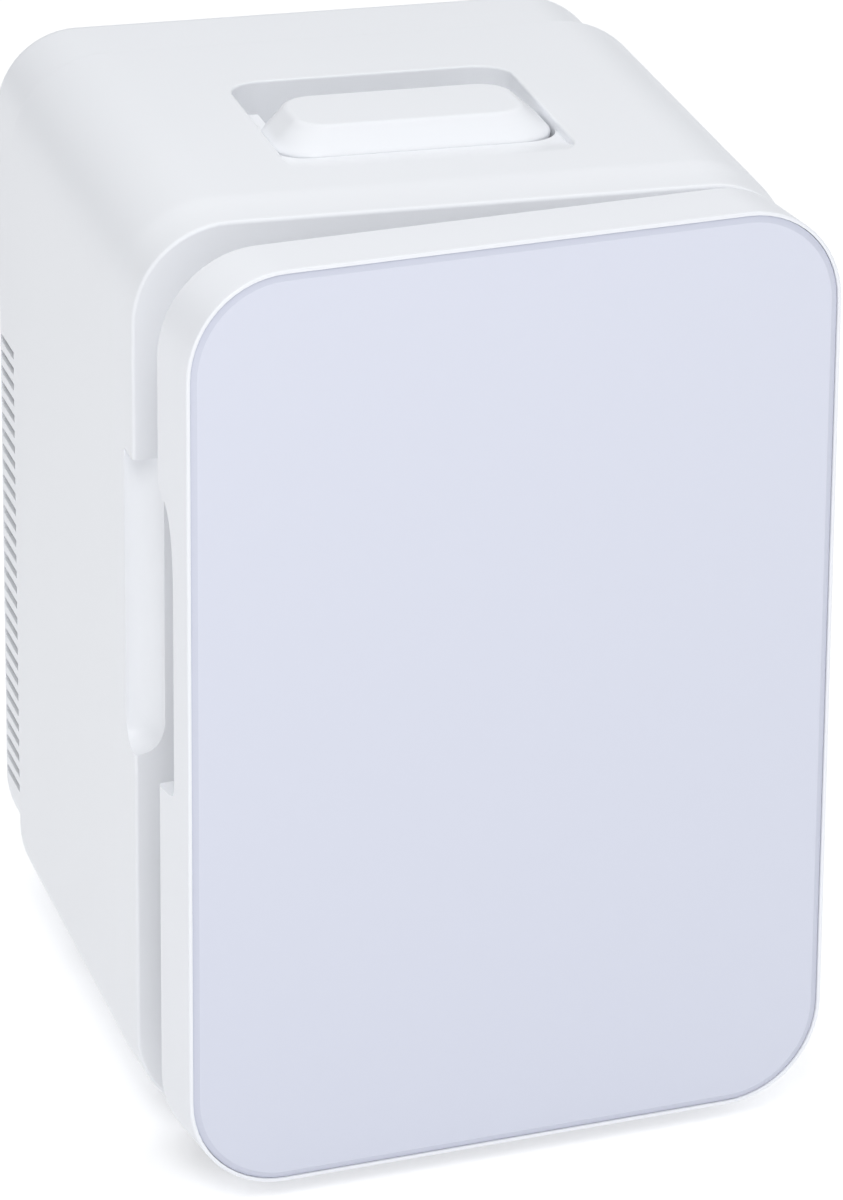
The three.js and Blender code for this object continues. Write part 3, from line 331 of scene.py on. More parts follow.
def roundFieldTree():
    # level bars that fill a circle, for the fan grille
    tree, given = startGrowth(
        "roundField", ("Radius", "Float", 35), ("Width", "Float", 3), ("Depth", "Float", 6),
        ("Count", "Int", 11), ("Pitch", "Float", 6), ("Centre", "Vector", (0, 0, 0)),
    )
    index = addNode(tree, "GeometryNodeInputIndex")[0]
    spread = maths(tree, "MULTIPLY", maths(tree, "SUBTRACT", given["Count"], 1), 0.5)
    rise = maths(tree, "MULTIPLY", maths(tree, "SUBTRACT", index, spread), given["Pitch"])
    radiusSquared, riseSquared = maths(tree, "POWER", given["Radius"], 2), maths(tree, "MULTIPLY", rise, rise)
    squared = maths(tree, "SUBTRACT", radiusSquared, riseSquared)
    reach = maths(tree, "MULTIPLY", maths(tree, "SQRT", squared), 2)
    row = addNode(tree, "GeometryNodeMeshLine", {"Count": given["Count"], "Offset": (0, 0, 0)})
    lift = addNode(tree, "ShaderNodeCombineXYZ", {"Z": rise})
    put = addNode(tree, "ShaderNodeVectorMath", {0: lift[0], 1: given["Centre"]}, operation="ADD")
    move = addNode(tree, "GeometryNodeSetPosition", {"Geometry": row["Mesh"], "Position": put[0]})
    bar = addNode(tree, "GeometryNodeMeshCube", {"Size": (1, 1, 1)})
    size = addNode(tree, "ShaderNodeCombineXYZ", {"X": reach, "Y": given["Depth"], "Z": given["Width"]})
    return endGrowth(tree, given, move["Geometry"], bar["Mesh"], {"Scale": size[0]})


def placedCopiesTree():
    # the same small part at every point of the host mesh
    tree, given = startGrowth("placedCopies", ("Part", "Object", None))
    part = addNode(tree, "GeometryNodeObjectInfo", {"Object": given["Part"]})
    return endGrowth(tree, given, given["Geometry"], part["Geometry"])


def bladeRingTree():
    # one blade turned round the y axis
    tree, given = startGrowth(
        "bladeRing", ("Blade", "Object", None), ("Count", "Int", 7), ("Centre", "Vector", (0, 0, 0)),
    )
    blade = addNode(tree, "GeometryNodeObjectInfo", {"Object": given["Blade"]})
    row = addNode(tree, "GeometryNodeMeshLine", {
        "Count": given["Count"], "Start Location": given["Centre"], "Offset": (0, 0, 0),
    })
    share = maths(tree, "DIVIDE", addNode(tree, "GeometryNodeInputIndex")[0], given["Count"])
    turn = addNode(tree, "ShaderNodeCombineXYZ", {"Y": maths(tree, "MULTIPLY", share, 2 * math.pi)})
    return endGrowth(tree, given, row["Mesh"], blade["Geometry"], {"Rotation": turn[0]})


def grown(name, tree, values, material, points=()):
    # runs a tree on a host of loose points and leaves its result as a plain mesh
    host = bpy.data.meshes.new(name)
    host.from_pydata([Vector(point) for point in points], [], [])
    made = bpy.data.objects.new(name, host)
    modifier = made.modifiers.new("grow", "NODES")
    modifier.node_group = tree
    sockets = {item.name: item.identifier for item in tree.interface.items_tree if item.in_out == "INPUT"}
    for label, value in {**values, "Material": material}.items():
        modifier[sockets[label]] = value
    bpy.context.scene.collection.objects.link(made)
    bake(made)
    return made


def grownCopies(name, work, material, points):
    part = asObject(name + "Part", work)
    made = grown(name, placedCopies, {"Part": part}, material, points)
    bpy.data.objects.remove(part)
    return made


barRow, roundField = barRowTree(), roundFieldTree()
placedCopies, bladeRing = placedCopiesTree(), bladeRingTree()


def place(piece, body, material, *nodes, sharp=35):
    # takes a piece from the layout to the row, with its finish, its body and the nodes it stands for
    mesh = piece.data
    toPlace = closedDoorToRow if body == "door" else toRow
    for vert in mesh.vertices:
        vert.co = toPlace(vert.co)
    mesh.materials.clear()
    mesh.materials.append(material)
    mesh.shade_smooth()
    mesh.set_sharp_from_angle(angle=math.radians(sharp))
    weighted = piece.modifiers.new("weighted", "WEIGHTED_NORMAL")
    weighted.keep_sharp = True
    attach(piece, body)
    if nodes:
        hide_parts(*nodes)


# Materials

def newMaterial(name):
    material = bpy.data.materials.new(name)
    material.use_nodes = True
    return material, material.node_tree


def coat(tree, inputs):
    fill(tree, tree.nodes["Principled BSDF"], inputs)


def noiseAt(tree, vector, scale, detail):
    return addNode(tree, "ShaderNodeTexNoise", {"Vector": vector, "Scale": scale, "Detail": detail})["Fac"]


def bumpFrom(tree, height, distance, strength=1):
    return addNode(tree, "ShaderNodeBump", {
        "Height": height, "Distance": distance, "Strength": strength,
    })["Normal"]


def objectCoords(tree):
    return addNode(tree, "ShaderNodeTexCoord")["Object"]


def colourRamp(tree, factor, low, high, ends=(0, 1), blend="LINEAR"):
    ramp = tree.nodes.new("ShaderNodeValToRGB")
    ramp.color_ramp.interpolation = blend
    for element, colour, position in zip(ramp.color_ramp.elements, (low, high), ends):
        element.color = (*colour, 1)
        element.position = position
    tree.links.new(factor, ramp.inputs["Fac"])
    return ramp.outputs["Color"]


def mouldedGrain():
    group, given = startTree("mouldedGrain", "ShaderNodeTree", [
        ("Grain Scale", "Float", 1400), ("Grain Depth", "Float", 0.05),
        ("Roughness", "Float", 0.35), ("Roughness Change", "Float", 0.06),
    ], [("Normal", "Vector"), ("Roughness", "Float")])
    coords = objectCoords(group)
    grain = noiseAt(group, coords, given["Grain Scale"], 3)
    centred = maths(group, "SUBTRACT", noiseAt(group, coords, 9, 4), 0.5)
    addNode(group, "NodeGroupOutput", {
        "Normal": bumpFrom(group, grain, bumpDistance, given["Grain Depth"]),
        "Roughness": maths(group, "MULTIPLY_ADD", centred, given["Roughness Change"], given["Roughness"]),
    })
    return group


def metalStreaks():
    # fine streaks along one direction, for drawn and extruded metal
    group, given = startTree("metalStreaks", "ShaderNodeTree", [
        ("Roughness", "Float", 0.35), ("Roughness Change", "Float", 0.2),
        ("Streak Depth", "Float", 0.15), ("Stretch", "Vector", (900, 900, 30)),
    ], [("Normal", "Vector"), ("Roughness", "Float"), ("Streak", "Float")])
    stretched = addNode(
        group, "ShaderNodeVectorMath", {0: objectCoords(group), 1: given["Stretch"]}, operation="MULTIPLY",
    )
    noise = noiseAt(group, stretched[0], 1, 4)
    addNode(group, "NodeGroupOutput", {
        "Normal": bumpFrom(group, noise, bumpDistance, given["Streak Depth"]),
        "Roughness": maths(group, "MULTIPLY_ADD", noise, given["Roughness Change"], given["Roughness"]),
        "Streak": noise,
    })
    return group


bumpDistance = 0.0002
grainGroup, streakGroup = mouldedGrain(), metalStreaks()


def mouldedPlastic(name, colour, roughness=0.35, grainDepth=0.05, coatWeight=0.0, depth=0.02):
    material, tree = newMaterial(name)
    grain = addNode(
        tree, "ShaderNodeGroup", {"Grain Depth": grainDepth, "Roughness": roughness}, node_tree=grainGroup,
    )
    darker = [channel * (1 - depth) for channel in colour]
    cloud = noiseAt(tree, objectCoords(tree), 5, 3)
    coat(tree, {
        "Coat Weight": coatWeight, "Coat Roughness": 0.12,
        "Normal": grain["Normal"], "Roughness": grain["Roughness"],
        "Base Color": colourRamp(tree, cloud, darker, colour, (0.1, 0.9), "EASE"),
    })
    return material


def coatedGlass(name, low, high):
    material, tree = newMaterial(name)
    # the colour runs from low at the bottom of the cabinet to high at its top: painted light falloff, darker
    # towards the bottom
    parts = addNode(tree, "ShaderNodeSeparateXYZ", {0: objectCoords(tree)})
    height = addNode(tree, "ShaderNodeMapRange", {
        "Value": parts["Z"], "From Min": shellLow.z, "From Max": shellHigh.z,
    })
    coat(tree, {"Roughness": 0.09, "IOR": 1.5, "Base Color": colourRamp(tree, height["Result"], low, high)})
    return material


def streakedMetal(name, darker, lighter, roughness, stretch=(900, 900, 30)):
    material, tree = newMaterial(name)
    streaks = addNode(
        tree, "ShaderNodeGroup", {"Roughness": roughness, "Stretch": stretch}, node_tree=streakGroup,
    )
    coat(tree, {
        "Metallic": 1, "Normal": streaks["Normal"], "Roughness": streaks["Roughness"],
        "Base Color": colourRamp(tree, streaks["Streak"], darker, lighter),
    })
    return material


def celledFoam():
    material = mouldedPlastic("insulationFoam", (0.82, 0.74, 0.48), 0.95, 0.6, depth=0.15)
    tree = material.node_tree
    cells = addNode(tree, "ShaderNodeTexVoronoi", {"Vector": objectCoords(tree), "Scale": 700})
    coat(tree, {"Normal": bumpFrom(tree, cells["Distance"], 0.0004)})
    return material


def clearLens(name, colour):
    material = mouldedPlastic(name, colour, 0.12, 0.0, 0.5)
    coat(material.node_tree, {"Subsurface Weight": 0.2})
    return material


whitePlastic = mouldedPlastic("whiteShell", (0.945, 0.957, 0.985), 0.34)
doorPlastic = mouldedPlastic("whiteDoorFrame", (0.94, 0.952, 0.984), 0.33)
linerPlastic = mouldedPlastic("linerWhite", (0.86, 0.87, 0.90), 0.42)
rackPlastic = mouldedPlastic("rackWhite", (0.80, 0.82, 0.87), 0.33, 0.03)
sealRubber = mouldedPlastic("sealGrey", (0.62, 0.63, 0.67), 0.7, 0.15)
footRubber = mouldedPlastic("footRubber", (0.04, 0.04, 0.042), 0.85, 0.4, depth=0.3)
blackPlastic = mouldedPlastic("blackPlastic", (0.022, 0.022, 0.025), 0.45, 0.25, depth=0.3)
ceramicWhite = mouldedPlastic("ceramicWhite", (0.80, 0.79, 0.74), 0.6, 0.2)
boardGreen = mouldedPlastic("boardGreen", (0.03, 0.16, 0.07), 0.4, 0.2, depth=0.35)
coolLens = clearLens("coolLens", (0.16, 0.45, 1.0))
warmLens = clearLens("warmLens", (1.0, 0.26, 0.10))
insulationFoam = celledFoam()
finAluminium = streakedMetal("finAluminium", (0.60, 0.61, 0.63), (0.78, 0.79, 0.81), 0.32)
platedSteel = streakedMetal("platedSteel", (0.50, 0.51, 0.53), (0.66, 0.67, 0.69), 0.22, (700, 700, 700))
# the glass is lighter towards the top: painted light falloff
glassFront = coatedGlass("whiteBackedGlass", (0.70, 0.722, 0.822), (0.745, 0.765, 0.865))
# the bevel border is a darker copy of the glass colour: painted shade on the bevel, with the same painted
# falloff
glassBevelPaintedShade = coatedGlass("glassBevelPaintedShade", (0.64, 0.66, 0.76), (0.68, 0.70, 0.80))
print("materials made")


# Cabinet shell: sleeve with a soft collar, a handle recess in its top and a finger scoop

def cabinetLoop(inset, y):
    return standing(
        cabinet["width"] - 2 * inset,
        cabinet["height"] - 2 * inset,
        cabinet["corner"] - inset,
        y,
        0,
        cabinet["middle"],
    )


def shellOuterLoops():
    drop, edge = cabinet["collarDrop"], cabinet["frontEdge"]
    collar, back, rear = cabinet["collarDepth"], cabinet["shellDepth"], cabinet["rearEdge"]
    front = [cabinetLoop(drop + inset, y) for inset, y in roundIn(edge, 0, 5)]
    slope = []
    for share in (0.2, 0.4, 0.55, 0.7, 0.8, 0.88, 0.94, 1.0):
        inset = drop * 0.5 * (1 + math.cos(math.pi * share ** 1.6))
        slope.append(cabinetLoop(inset, edge + share * (collar - edge)))
    middle = [cabinetLoop(0, collar + (back - rear - collar) * share) for share in (0.1, 0.5, 1)]
    tail = [cabinetLoop(*pair) for pair in roundOut(rear, back, 5)[1:]]
    return front + slope + middle + tail


recess = {
    "width": 104.5, "front": 45.5, "back": 151, "corner": 13, "wall": 3,
    "dish": 3.5, "run": 23.5, "depth": 28, "lipRound": 0.9, "floorRound": 3,
}


def recessLoop(z, grow, front):
    length = recess["back"] - front + 2 * grow
    middle = (recess["back"] + front) / 2
    return lying(recess["width"] + 2 * grow, length, recess["corner"] + grow, z, 0, middle)


def recessTub():
    top, wall = cabinet["top"], recess["wall"]
    under = top - cabinet["wall"]
    dish = fromLoops([recessLoop(z, wall, recess["front"]) for z in (top - recess["dish"] - wall, under)])
    pocket = fromLoops([
        recessLoop(z, wall, recess["front"] + recess["run"]) for z in (top - recess["depth"] - wall, under)
    ])
    return dish, pocket


def recessCutters():
    top, lip, foot = cabinet["top"], recess["lipRound"], recess["floorRound"]
    pocketFront = recess["front"] + recess["run"]
    floor = top - recess["depth"]
    pocketRows = roundOut(-foot, floor, 5)[::-1] + roundOut(lip, top, 4) + [(lip, top + 6)]
    pocket = fromLoops([recessLoop(z, grow, pocketFront) for grow, z in pocketRows])
    dishRows = [(0, top - recess["dish"] - 1)] + roundOut(lip, top, 4) + [(lip, top + 5)]
    dish = asObject("dish", fromLoops([recessLoop(z, grow, recess["front"]) for grow, z in dishRows]))
    low = top - recess["dish"]
    profile = [(recess["front"] - lip, top + 0.02)]
    for step in range(1, 13):
        share = step / 12
        ease = share * share * (3 - 2 * share)
        profile.append((recess["front"] + share * recess["run"], top - ease * recess["dish"]))
    profile += [(recess["back"] + 3, low), (recess["back"] + 3, top + 9), (recess["front"] - lip, top + 9)]
    combine(dish, "INTERSECT", extrudedProfile(profile, -80, 80))
    return dish, pocket


pivot = {"forward": 15, "down": 14, "seat": 2.5, "reach": 4}
pivotY, pivotZ = recess["back"] - pivot["forward"], cabinet["top"] - pivot["down"]

scoop = {"bottom": 144.5, "top": 255, "across": 12, "back": 13, "bowl": 12, "roof": 0.8}


def scoopForm(grow):
    low, high = cabinet["base"] + scoop["bottom"] - grow, cabinet["base"] + scoop["top"] + grow
    rows = [(math.sin(a) ** 0.7, low + scoop["bowl"] * (1 - math.cos(a))) for a in arcSteps(14)[1:]]
    rows += [(1, high - scoop["roof"])]
    rows += [(1 - 0.06 * (1 - math.cos(a)), high - scoop["roof"] * (1 - math.sin(a)))
             for a in arcSteps(3)[1:]]
    loops = []
    for share, z in rows:
        loops.append([(
            -cabinet["width"] / 2 + share * (scoop["across"] + grow) * math.cos(turn),
            share * (scoop["back"] + grow) * math.sin(turn),
            z,
        ) for turn in (2 * math.pi * index / 56 for index in range(56))])
    return fromLoops(loops)


hinge = {
    "x": (doorHinge.x - layoutOrigin.x) / mm, "y": (doorHinge.y - layoutOrigin.y) / mm,
    "fromEnd": 50, "clear": 12.4, "pin": 2.2, "pinLength": 17, "ear": 2.5, "earRadius": 5.2, "neck": 7.5,
    "neckIn": 5, "plateFrom": 14, "plateTo": 2.5,
    "plate": 2, "halfHeight": 15, "screwOffset": 10, "screwIn": 3,
}
hinge["heights"] = {"upper": cabinet["top"] - hinge["fromEnd"], "lower": cabinet["base"] + hinge["fromEnd"]}
screw = {"head": 2.6, "shank": 1.5, "coverHead": 3.4, "well": 4.2, "inset": 26, "wellDepth": 6,
         "headDepth": 1.2}
foot = {"radius": 10, "stem": 3, "height": 5.7, "bore": 3.2, "seat": 3.3, "seatDepth": 4}
footNodes = ["foot_%s_%s" % (end, side) for end in ("front", "rear") for side in ("left", "right")]


def hingeScrewPlaces():
    return [
        (hinge["x"] - hinge["screwIn"], z + side * hinge["screwOffset"])
        for z in hinge["heights"].values() for side in (1, -1)
    ]


def rimCutters():
    cutters = []
    neck, half = hinge["x"] - hinge["neckIn"], hinge["ear"] / 2 + gap
    for z in hinge["heights"].values():
        xs = (neck - 2 * gap, neck + hinge["neck"] + gap)
        cutters.append(softBlock(xs, (-1, 5), (z - half, z + half), 0.3))
    for x, z in hingeScrewPlaces():
        cutters.append(rod(screw["head"] + gap, -1, screw["headDepth"], (x, 0, z)))
        cutters.append(rod(screw["shank"] + gap, 0, 5, (x, 0, z), sides=20))
    return cutters


def smallBores():
    # seats for the handle pins and the feet
    reach = recess["width"] / 2 + recess["wall"] + pivot["reach"]
    bores = [rod(pivot["seat"], -reach, reach, (0, pivotY, pivotZ), "x")]
    low, high = cabinet["base"] - 1, cabinet["base"] + foot["seatDepth"]
    return bores + [rod(foot["seat"], low, high, place, "z") for place in footPlaces()]


def footPlaces():
    spans = [nodeSpan(node) for node in footNodes]
    return [(middleOf(xs), middleOf(ys), 0) for xs, ys, _ in spans]


def makeShell():
    back, wall = cabinet["shellDepth"], cabinet["wall"]
    inner = cabinet["collarDrop"] + wall
    coverEdge = 5.1 - gap
    sleeve = asObject("cabinetShell", fromLoops([
        cabinetLoop(cabinet["rim"], 0),
        *shellOuterLoops(),
        cabinetLoop(coverEdge, back),
        cabinetLoop(coverEdge, back - wall),
        cabinetLoop(inner, back - wall),
        cabinetLoop(inner, wall),
        cabinetLoop(cabinet["rim"], wall),
    ], ring=True))
    boss = asObject("scoopBacking", scoopForm(wall))
    combine(boss, "INTERSECT", fromLoops(shellOuterLoops()))
    combine(sleeve, "UNION", *recessTub(), boss)
    combine(sleeve, "DIFFERENCE", *recessCutters(), scoopForm(0), *rimCutters(), *smallBores())
    place(sleeve, "cabinet", whitePlastic, "cabinet_shell")


makeShell()
print("cabinet shell made")


# Rear cover with side louvres, fan grille and the fittings' openings

cover = {"inset": 5.1, "wall": 2.2, "edge": 12, "depth": 258, "lap": 3.9}
louvre = {"pitch": 6.3, "height": 3, "rows": 29, "start": 38, "front": 6, "fillet": 1.4}
grille = {"radius": 35.5, "rib": 4, "rows": 11}
fittingBodies = {"mains_inlet": (26, 20), "switch_bezel": (24, 16)}
fittingRadii = {"low_voltage_socket": 6, "indicator_lens_cool": 2, "indicator_lens_warm": 2}
fanAxis = (0, 0, middleOf(nodeSpan("hot_fan_frame")[2]))


def coverScrewPlaces():
    across = cabinet["width"] / 2 - cover["inset"] - screw["inset"]
    up = cabinet["height"] / 2 - cover["inset"] - screw["inset"]
    return [(x * across, cabinet["middle"] + z * up) for x, z in ((-1, -1), (1, -1), (1, 1), (-1, 1))]


def louvreCutters():
    side = cabinet["width"] / 2 - cover["inset"]
    fore, aft = cabinet["shellDepth"] + louvre["front"], cover["depth"] - cover["edge"]
    low = cabinet["base"] + louvre["start"] + louvre["height"] / 2
    cutters = []
    for sign in (-1, 1):
        cutters.append(grown("louvreCutter", barRow, {
            "Length": cover["wall"] + 4.0, "Width": aft - fore, "Thickness": louvre["height"],
            "Fillet": louvre["fillet"], "Count": louvre["rows"],
            "First": (sign * (side - cover["wall"] / 2), (fore + aft) / 2, low),
            "Step": (0.0, 0.0, louvre["pitch"]),
        }, whitePlastic))
    return cutters


def grilleCutter():
    return grown("grilleCutter", roundField, {
        "Radius": grille["radius"], "Width": float(louvre["height"]), "Depth": cover["wall"] * 3,
        "Count": grille["rows"], "Pitch": louvre["pitch"], "Centre": (0.0, cover["depth"] - 1.0, fanAxis[2]),
    }, whitePlastic)


def fittingHoles():
    depth = cover["depth"]
    holes = []
    for node, (width, height) in fittingBodies.items():
        xs, _, zs = nodeSpan(node)
        x, z = middleOf(xs), middleOf(zs)
        holes.append(softBlock(
            (x - width / 2 - gap, x + width / 2 + gap), (depth - 6, depth + 2),
            (z - height / 2 - gap, z + height / 2 + gap), 0.4,
        ))
    for node, radius in fittingRadii.items():
        xs, _, zs = nodeSpan(node)
        holes.append(rod(radius + gap, -6, 2, (middleOf(xs), depth, middleOf(zs))))
    return holes


def makeCover():
    front = cabinet["shellDepth"] - cover["lap"]
    depth, inset, wall, edge = cover["depth"], cover["inset"], cover["wall"], cover["edge"]
    outer = [cabinetLoop(inset + more, y) for more, y in reversed(roundOut(edge, depth, 10))]
    inside, bend = inset + wall, edge - wall
    inner = [cabinetLoop(inside + more, y) for more, y in roundOut(bend, depth - wall, 8)]
    tray = asObject("rearCover", fromLoops(
        outer + [cabinetLoop(inset, front), cabinetLoop(inside, front)] + inner
    ))
    seat = front + screw["wellDepth"]
    well = screw["well"]
    wellRows = [(well, seat), (well, depth - 0.6), (well + 0.6, depth), (well + 0.8, depth + 2)]
    posts = [rod(well + wall, front, depth - 1, (x, 0, z)) for x, z in coverScrewPlaces()]
    wells = [turnedForm(wellRows, (x, 0, z)) for x, z in coverScrewPlaces()]
    rib = softBlock(
        (-grille["rib"] / 2, grille["rib"] / 2), (depth - wall, depth),
        (fanAxis[2] - grille["radius"], fanAxis[2] + grille["radius"]), 0.2,
    )
    combine(tray, "UNION", *posts)
    combine(tray, "DIFFERENCE", *wells, *louvreCutters(), grilleCutter())
    combine(tray, "UNION", rib)
    combine(tray, "DIFFERENCE", *fittingHoles())
    place(tray, "cabinet", whitePlastic, "rear_cover")


makeCover()
print("rear cover made")


# Feet, screws and pins

def crossHeadScrew(head, tall, shank, length):
    # a pan-head screw along y, its head towards +y and its seat at 0
    form = asObject("screwForm", turnedForm([
        (0.3, -length), (shank, -length + 2), (shank, 0), (head * 0.94, 0), (head, 0.25), (head, tall * 0.45),
        (head * 0.93, tall * 0.72), (head * 0.75, tall * 0.9), (head * 0.45, tall), (0.2, tall),
    ], (0, 0, 0)))
    slot = 0.16 * head
    arm = 0.62 * head
    cross = [
        softBlock((-wide, wide), (tall * 0.4, tall + 1), (-high, high), 0.1)
        for wide, high in ((arm, slot), (slot, arm))
    ]
    combine(form, "DIFFERENCE", *cross)
    work = bmesh.new()
    work.from_mesh(form.data)
    bpy.data.objects.remove(form)
    return work


def makeFeet():
    radius, tall, bore = foot["radius"], foot["height"], foot["bore"]
    pad = turnedForm([
        (bore, 1.6), (bore + 0.4, 0.3), (bore + 0.9, 0), (radius - 1.6, 0), (radius - 0.6, 0.25),
        (radius - 0.1, 0.9), (radius, 1.5), (radius - 0.2, 3), (radius - 0.5, tall - 0.4),
        (radius - 0.9, tall), (foot["stem"], tall), (foot["stem"], tall + 3.6),
    ], (0, 0, 0), "z", 48)
    pads = grownCopies("feet", pad, footRubber, footPlaces())
    place(pads, "cabinet", footRubber, *footNodes)


def makeCoverScrews():
    head = crossHeadScrew(screw["coverHead"], 2.4, screw["shank"], 13)
    seat = nodeSpan("cover_screw_1")[1][1] - 2.4
    screws = grownCopies("coverScrews", head, platedSteel, [(x, seat, z) for x, z in coverScrewPlaces()])
    nodes = ["cover_screw_%d" % number for number in (1, 2, 3, 4)]
    place(screws, "cabinet", platedSteel, *nodes)


def makeHingeScrews():
    # these face the door, so the screw is turned end for end
    head = crossHeadScrew(screw["head"], 0.9, screw["shank"], 9.5)
    for vert in head.verts:
        vert.co = Vector((-vert.co.x, -vert.co.y, vert.co.z))
    screws = grownCopies("hingeScrews", head, platedSteel, [(x, 1.0, z) for x, z in hingeScrewPlaces()])
    nodes = ["hinge_screw_%s_%d" % (level, number) for level in ("upper", "lower") for number in (1, 2)]
    place(screws, "cabinet", platedSteel, *nodes)


def makeHingeBrackets():
    x, y, plate = hinge["x"], hinge["y"], hinge["plate"]
    front = cabinet["wall"] + gap
    for level, z in hinge["heights"].items():
        ends = (z - hinge["ear"] / 2, z + hinge["ear"] / 2)
        bracket = asObject("hingeBracket_" + level, softBlock(
            (x - hinge["plateFrom"], x + hinge["plateTo"]), (front, front + plate),
            (z - hinge["halfHeight"], z + hinge["halfHeight"]), 0.3, 1.5,
        ))
        across = (x - hinge["neckIn"], x - hinge["neckIn"] + hinge["neck"])
        neck = softBlock(across, (y, front + plate - 0.5), ends, 0.25)
        eye = turnedForm(roundedEnds(hinge["earRadius"], *ends, 0.3), (x, y, 0), "z")
        bore = rod(hinge["pin"] + gap, ends[0] - 1, ends[1] + 1, (x, y, 0), "z")
        holes = [rod(screw["shank"] + gap, 0, 9, (out, 0, up), sides=20)
                 for out, up in hingeScrewPlaces() if abs(up - z) < hinge["fromEnd"] / 2]
        combine(bracket, "UNION", neck, eye)
        combine(bracket, "DIFFERENCE", bore, *holes)
        place(bracket, "cabinet", platedSteel, "hinge_bracket_" + level)
        half = hinge["pinLength"] / 2
        pin = asObject("hingePin_" + level, turnedForm(
            roundedEnds(hinge["pin"], z - half, z + half, 0.5), (x, y, 0), "z",
        ))
        place(pin, "cabinet", platedSteel, "hinge_pin_" + level)


def makeHandlePins():
    for side in ("left", "right"):
        xs, ys, zs = nodeSpan("handle_pin_" + side)
        radius = (zs[1] - zs[0]) / 2
        pin = asObject("handlePin_" + side, turnedForm(
            roundedEnds(radius, *xs, 0.5), (0, middleOf(ys), middleOf(zs)), "x",
        ))
        place(pin, "cabinet", platedSteel, "handle_pin_" + side)


makeFeet()
makeCoverScrews()
makeHingeScrews()
makeHingeBrackets()
makeHandlePins()
print("feet, screws and pins made")


# Liner and shelf

cavity = {
    "width": 190, "corner": 14, "back": 168, "linerBack": 170, "mouth": 2, "floor": 34, "ceiling": 304,
    "shelfHeight": 150, "shelfDepth": 118, "shelfFront": 12, "shelfRound": 1.2, "pathHole": 42,
}
cavity["middle"] = (cavity["floor"] + cavity["ceiling"]) / 2
cavity["height"] = cavity["ceiling"] - cavity["floor"]


def cavityLoop(grow, y):
    return standing(
        cavity["width"] + 2 * grow, cavity["height"] + 2 * grow, cavity["corner"] + grow,
        y, 0, cavity["middle"],
    )


def makeLiner():
    mouth, wall, back = cavity["mouth"], cavity["linerBack"] - cavity["back"], cavity["back"]
    floorRound = 5
    rows = [cavityLoop(-inset, y) for inset, y in reversed(roundOut(floorRound, back, 6))]
    rows += [cavityLoop(-inset, y) for inset, y in roundOut(-mouth, 0, 5)]
    rows += [
        cabinetLoop(cabinet["rim"] + gap, 0),
        cabinetLoop(cabinet["rim"] + gap, cabinet["wall"]),
        cavityLoop(wall, cabinet["wall"]),
        cavityLoop(wall, cavity["linerBack"]),
    ]
    liner = asObject("cabinLiner", fromLoops(rows))
    top = cavity["floor"] + cavity["shelfHeight"] - gap
    half = cavity["width"] / 2
    rails = [softBlock(
        xs, (cavity["shelfFront"] + 4, cavity["shelfFront"] + cavity["shelfDepth"]), (top - 4, top), 1,
    ) for xs in ((-half - 1, -half + 5), (half - 5, half + 1))]
    hole = cavity["pathHole"] / 2
    middle = cavity["middle"]
    path = softBlock((-hole, hole), (back - 1, back + 4), (middle - hole, middle + hole), 0.5)
    combine(liner, "UNION", *rails)
    combine(liner, "DIFFERENCE", path, scoopForm(cabinet["wall"] + gap))
    place(liner, "cabinet", linerPlastic, "cabinet_liner")


def makeShelf():
    xs, ys, zs = nodeSpan("shelf")
    width, depth = xs[1] - xs[0], ys[1] - ys[0]

    def layer(inset, z):
        return lying(width - 2 * inset, depth - 2 * inset, 6 - inset, z, 0, middleOf(ys))

    rows = roundIn(cavity["shelfRound"], zs[0], 4) + roundOut(cavity["shelfRound"], zs[1], 4)
    plate = asObject("shelfPlate", fromLoops([layer(*row) for row in rows]))
    pitch = cavity["width"] / 8.5
    slots = grown("shelfSlotCutter", barRow, {
        "Length": 8.0, "Width": depth - 26, "Thickness": 8.0, "Fillet": 3.9, "Count": 7,
        "First": (-3 * pitch, ys[0] + 14 + (depth - 26) / 2, middleOf(zs)), "Step": (pitch, 0.0, 0.0),
        "Turn": (0.0, math.pi / 2, 0.0),
    }, rackPlastic)
    combine(plate, "DIFFERENCE", slots)
    place(plate, "cabinet", rackPlastic, "shelf")


makeLiner()
makeShelf()
print("liner and shelf made")


# Cooling unit: finned sinks, fans and the cover inside the cabin

coldSink = {"node": "cold_side_sink", "base": 4, "fins": 11, "thick": 1.4, "side": -1}
hotSink = {"node": "hot_side_sink", "base": 5, "fins": 13, "thick": 1.6, "side": 1}
coldFan = {"prefix": "cold", "depth": 10, "rotor": 26, "hub": 11, "blades": 7, "chord": 8}
hotFan = {"prefix": "hot", "depth": 15, "rotor": 35.5, "hub": 14, "blades": 7, "chord": 13}
fanBore = 1.8


def makeSink(sink):
    xs, ys, zs = nodeSpan(sink["node"])
    if sink["side"] < 0:
        plate, tips = (ys[1] - sink["base"], ys[1]), (ys[0], ys[1] - sink["base"] + 0.5)
    else:
        plate, tips = (ys[0], ys[0] + sink["base"]), (ys[0] + sink["base"] - 0.5, ys[1])
    base = asObject("sinkBase", softBlock(xs, plate, zs, 0.4, 1))
    width = xs[1] - xs[0]
    pitch = (width - sink["thick"]) / (sink["fins"] - 1)
    fins = grown("fins", barRow, {
        "Length": zs[1] - zs[0], "Width": tips[1] - tips[0], "Thickness": sink["thick"], "Fillet": 0.45,
        "Count": sink["fins"], "First": (xs[0] + sink["thick"] / 2, middleOf(tips), middleOf(zs)),
        "Step": (pitch, 0.0, 0.0), "Turn": (0.0, math.pi / 2, 0.0),
    }, finAluminium)
    joinMeshes(base, fins)
    base.name = "sink_" + ("cold" if sink["side"] < 0 else "hot")
    place(base, "cabinet", finAluminium, sink["node"])


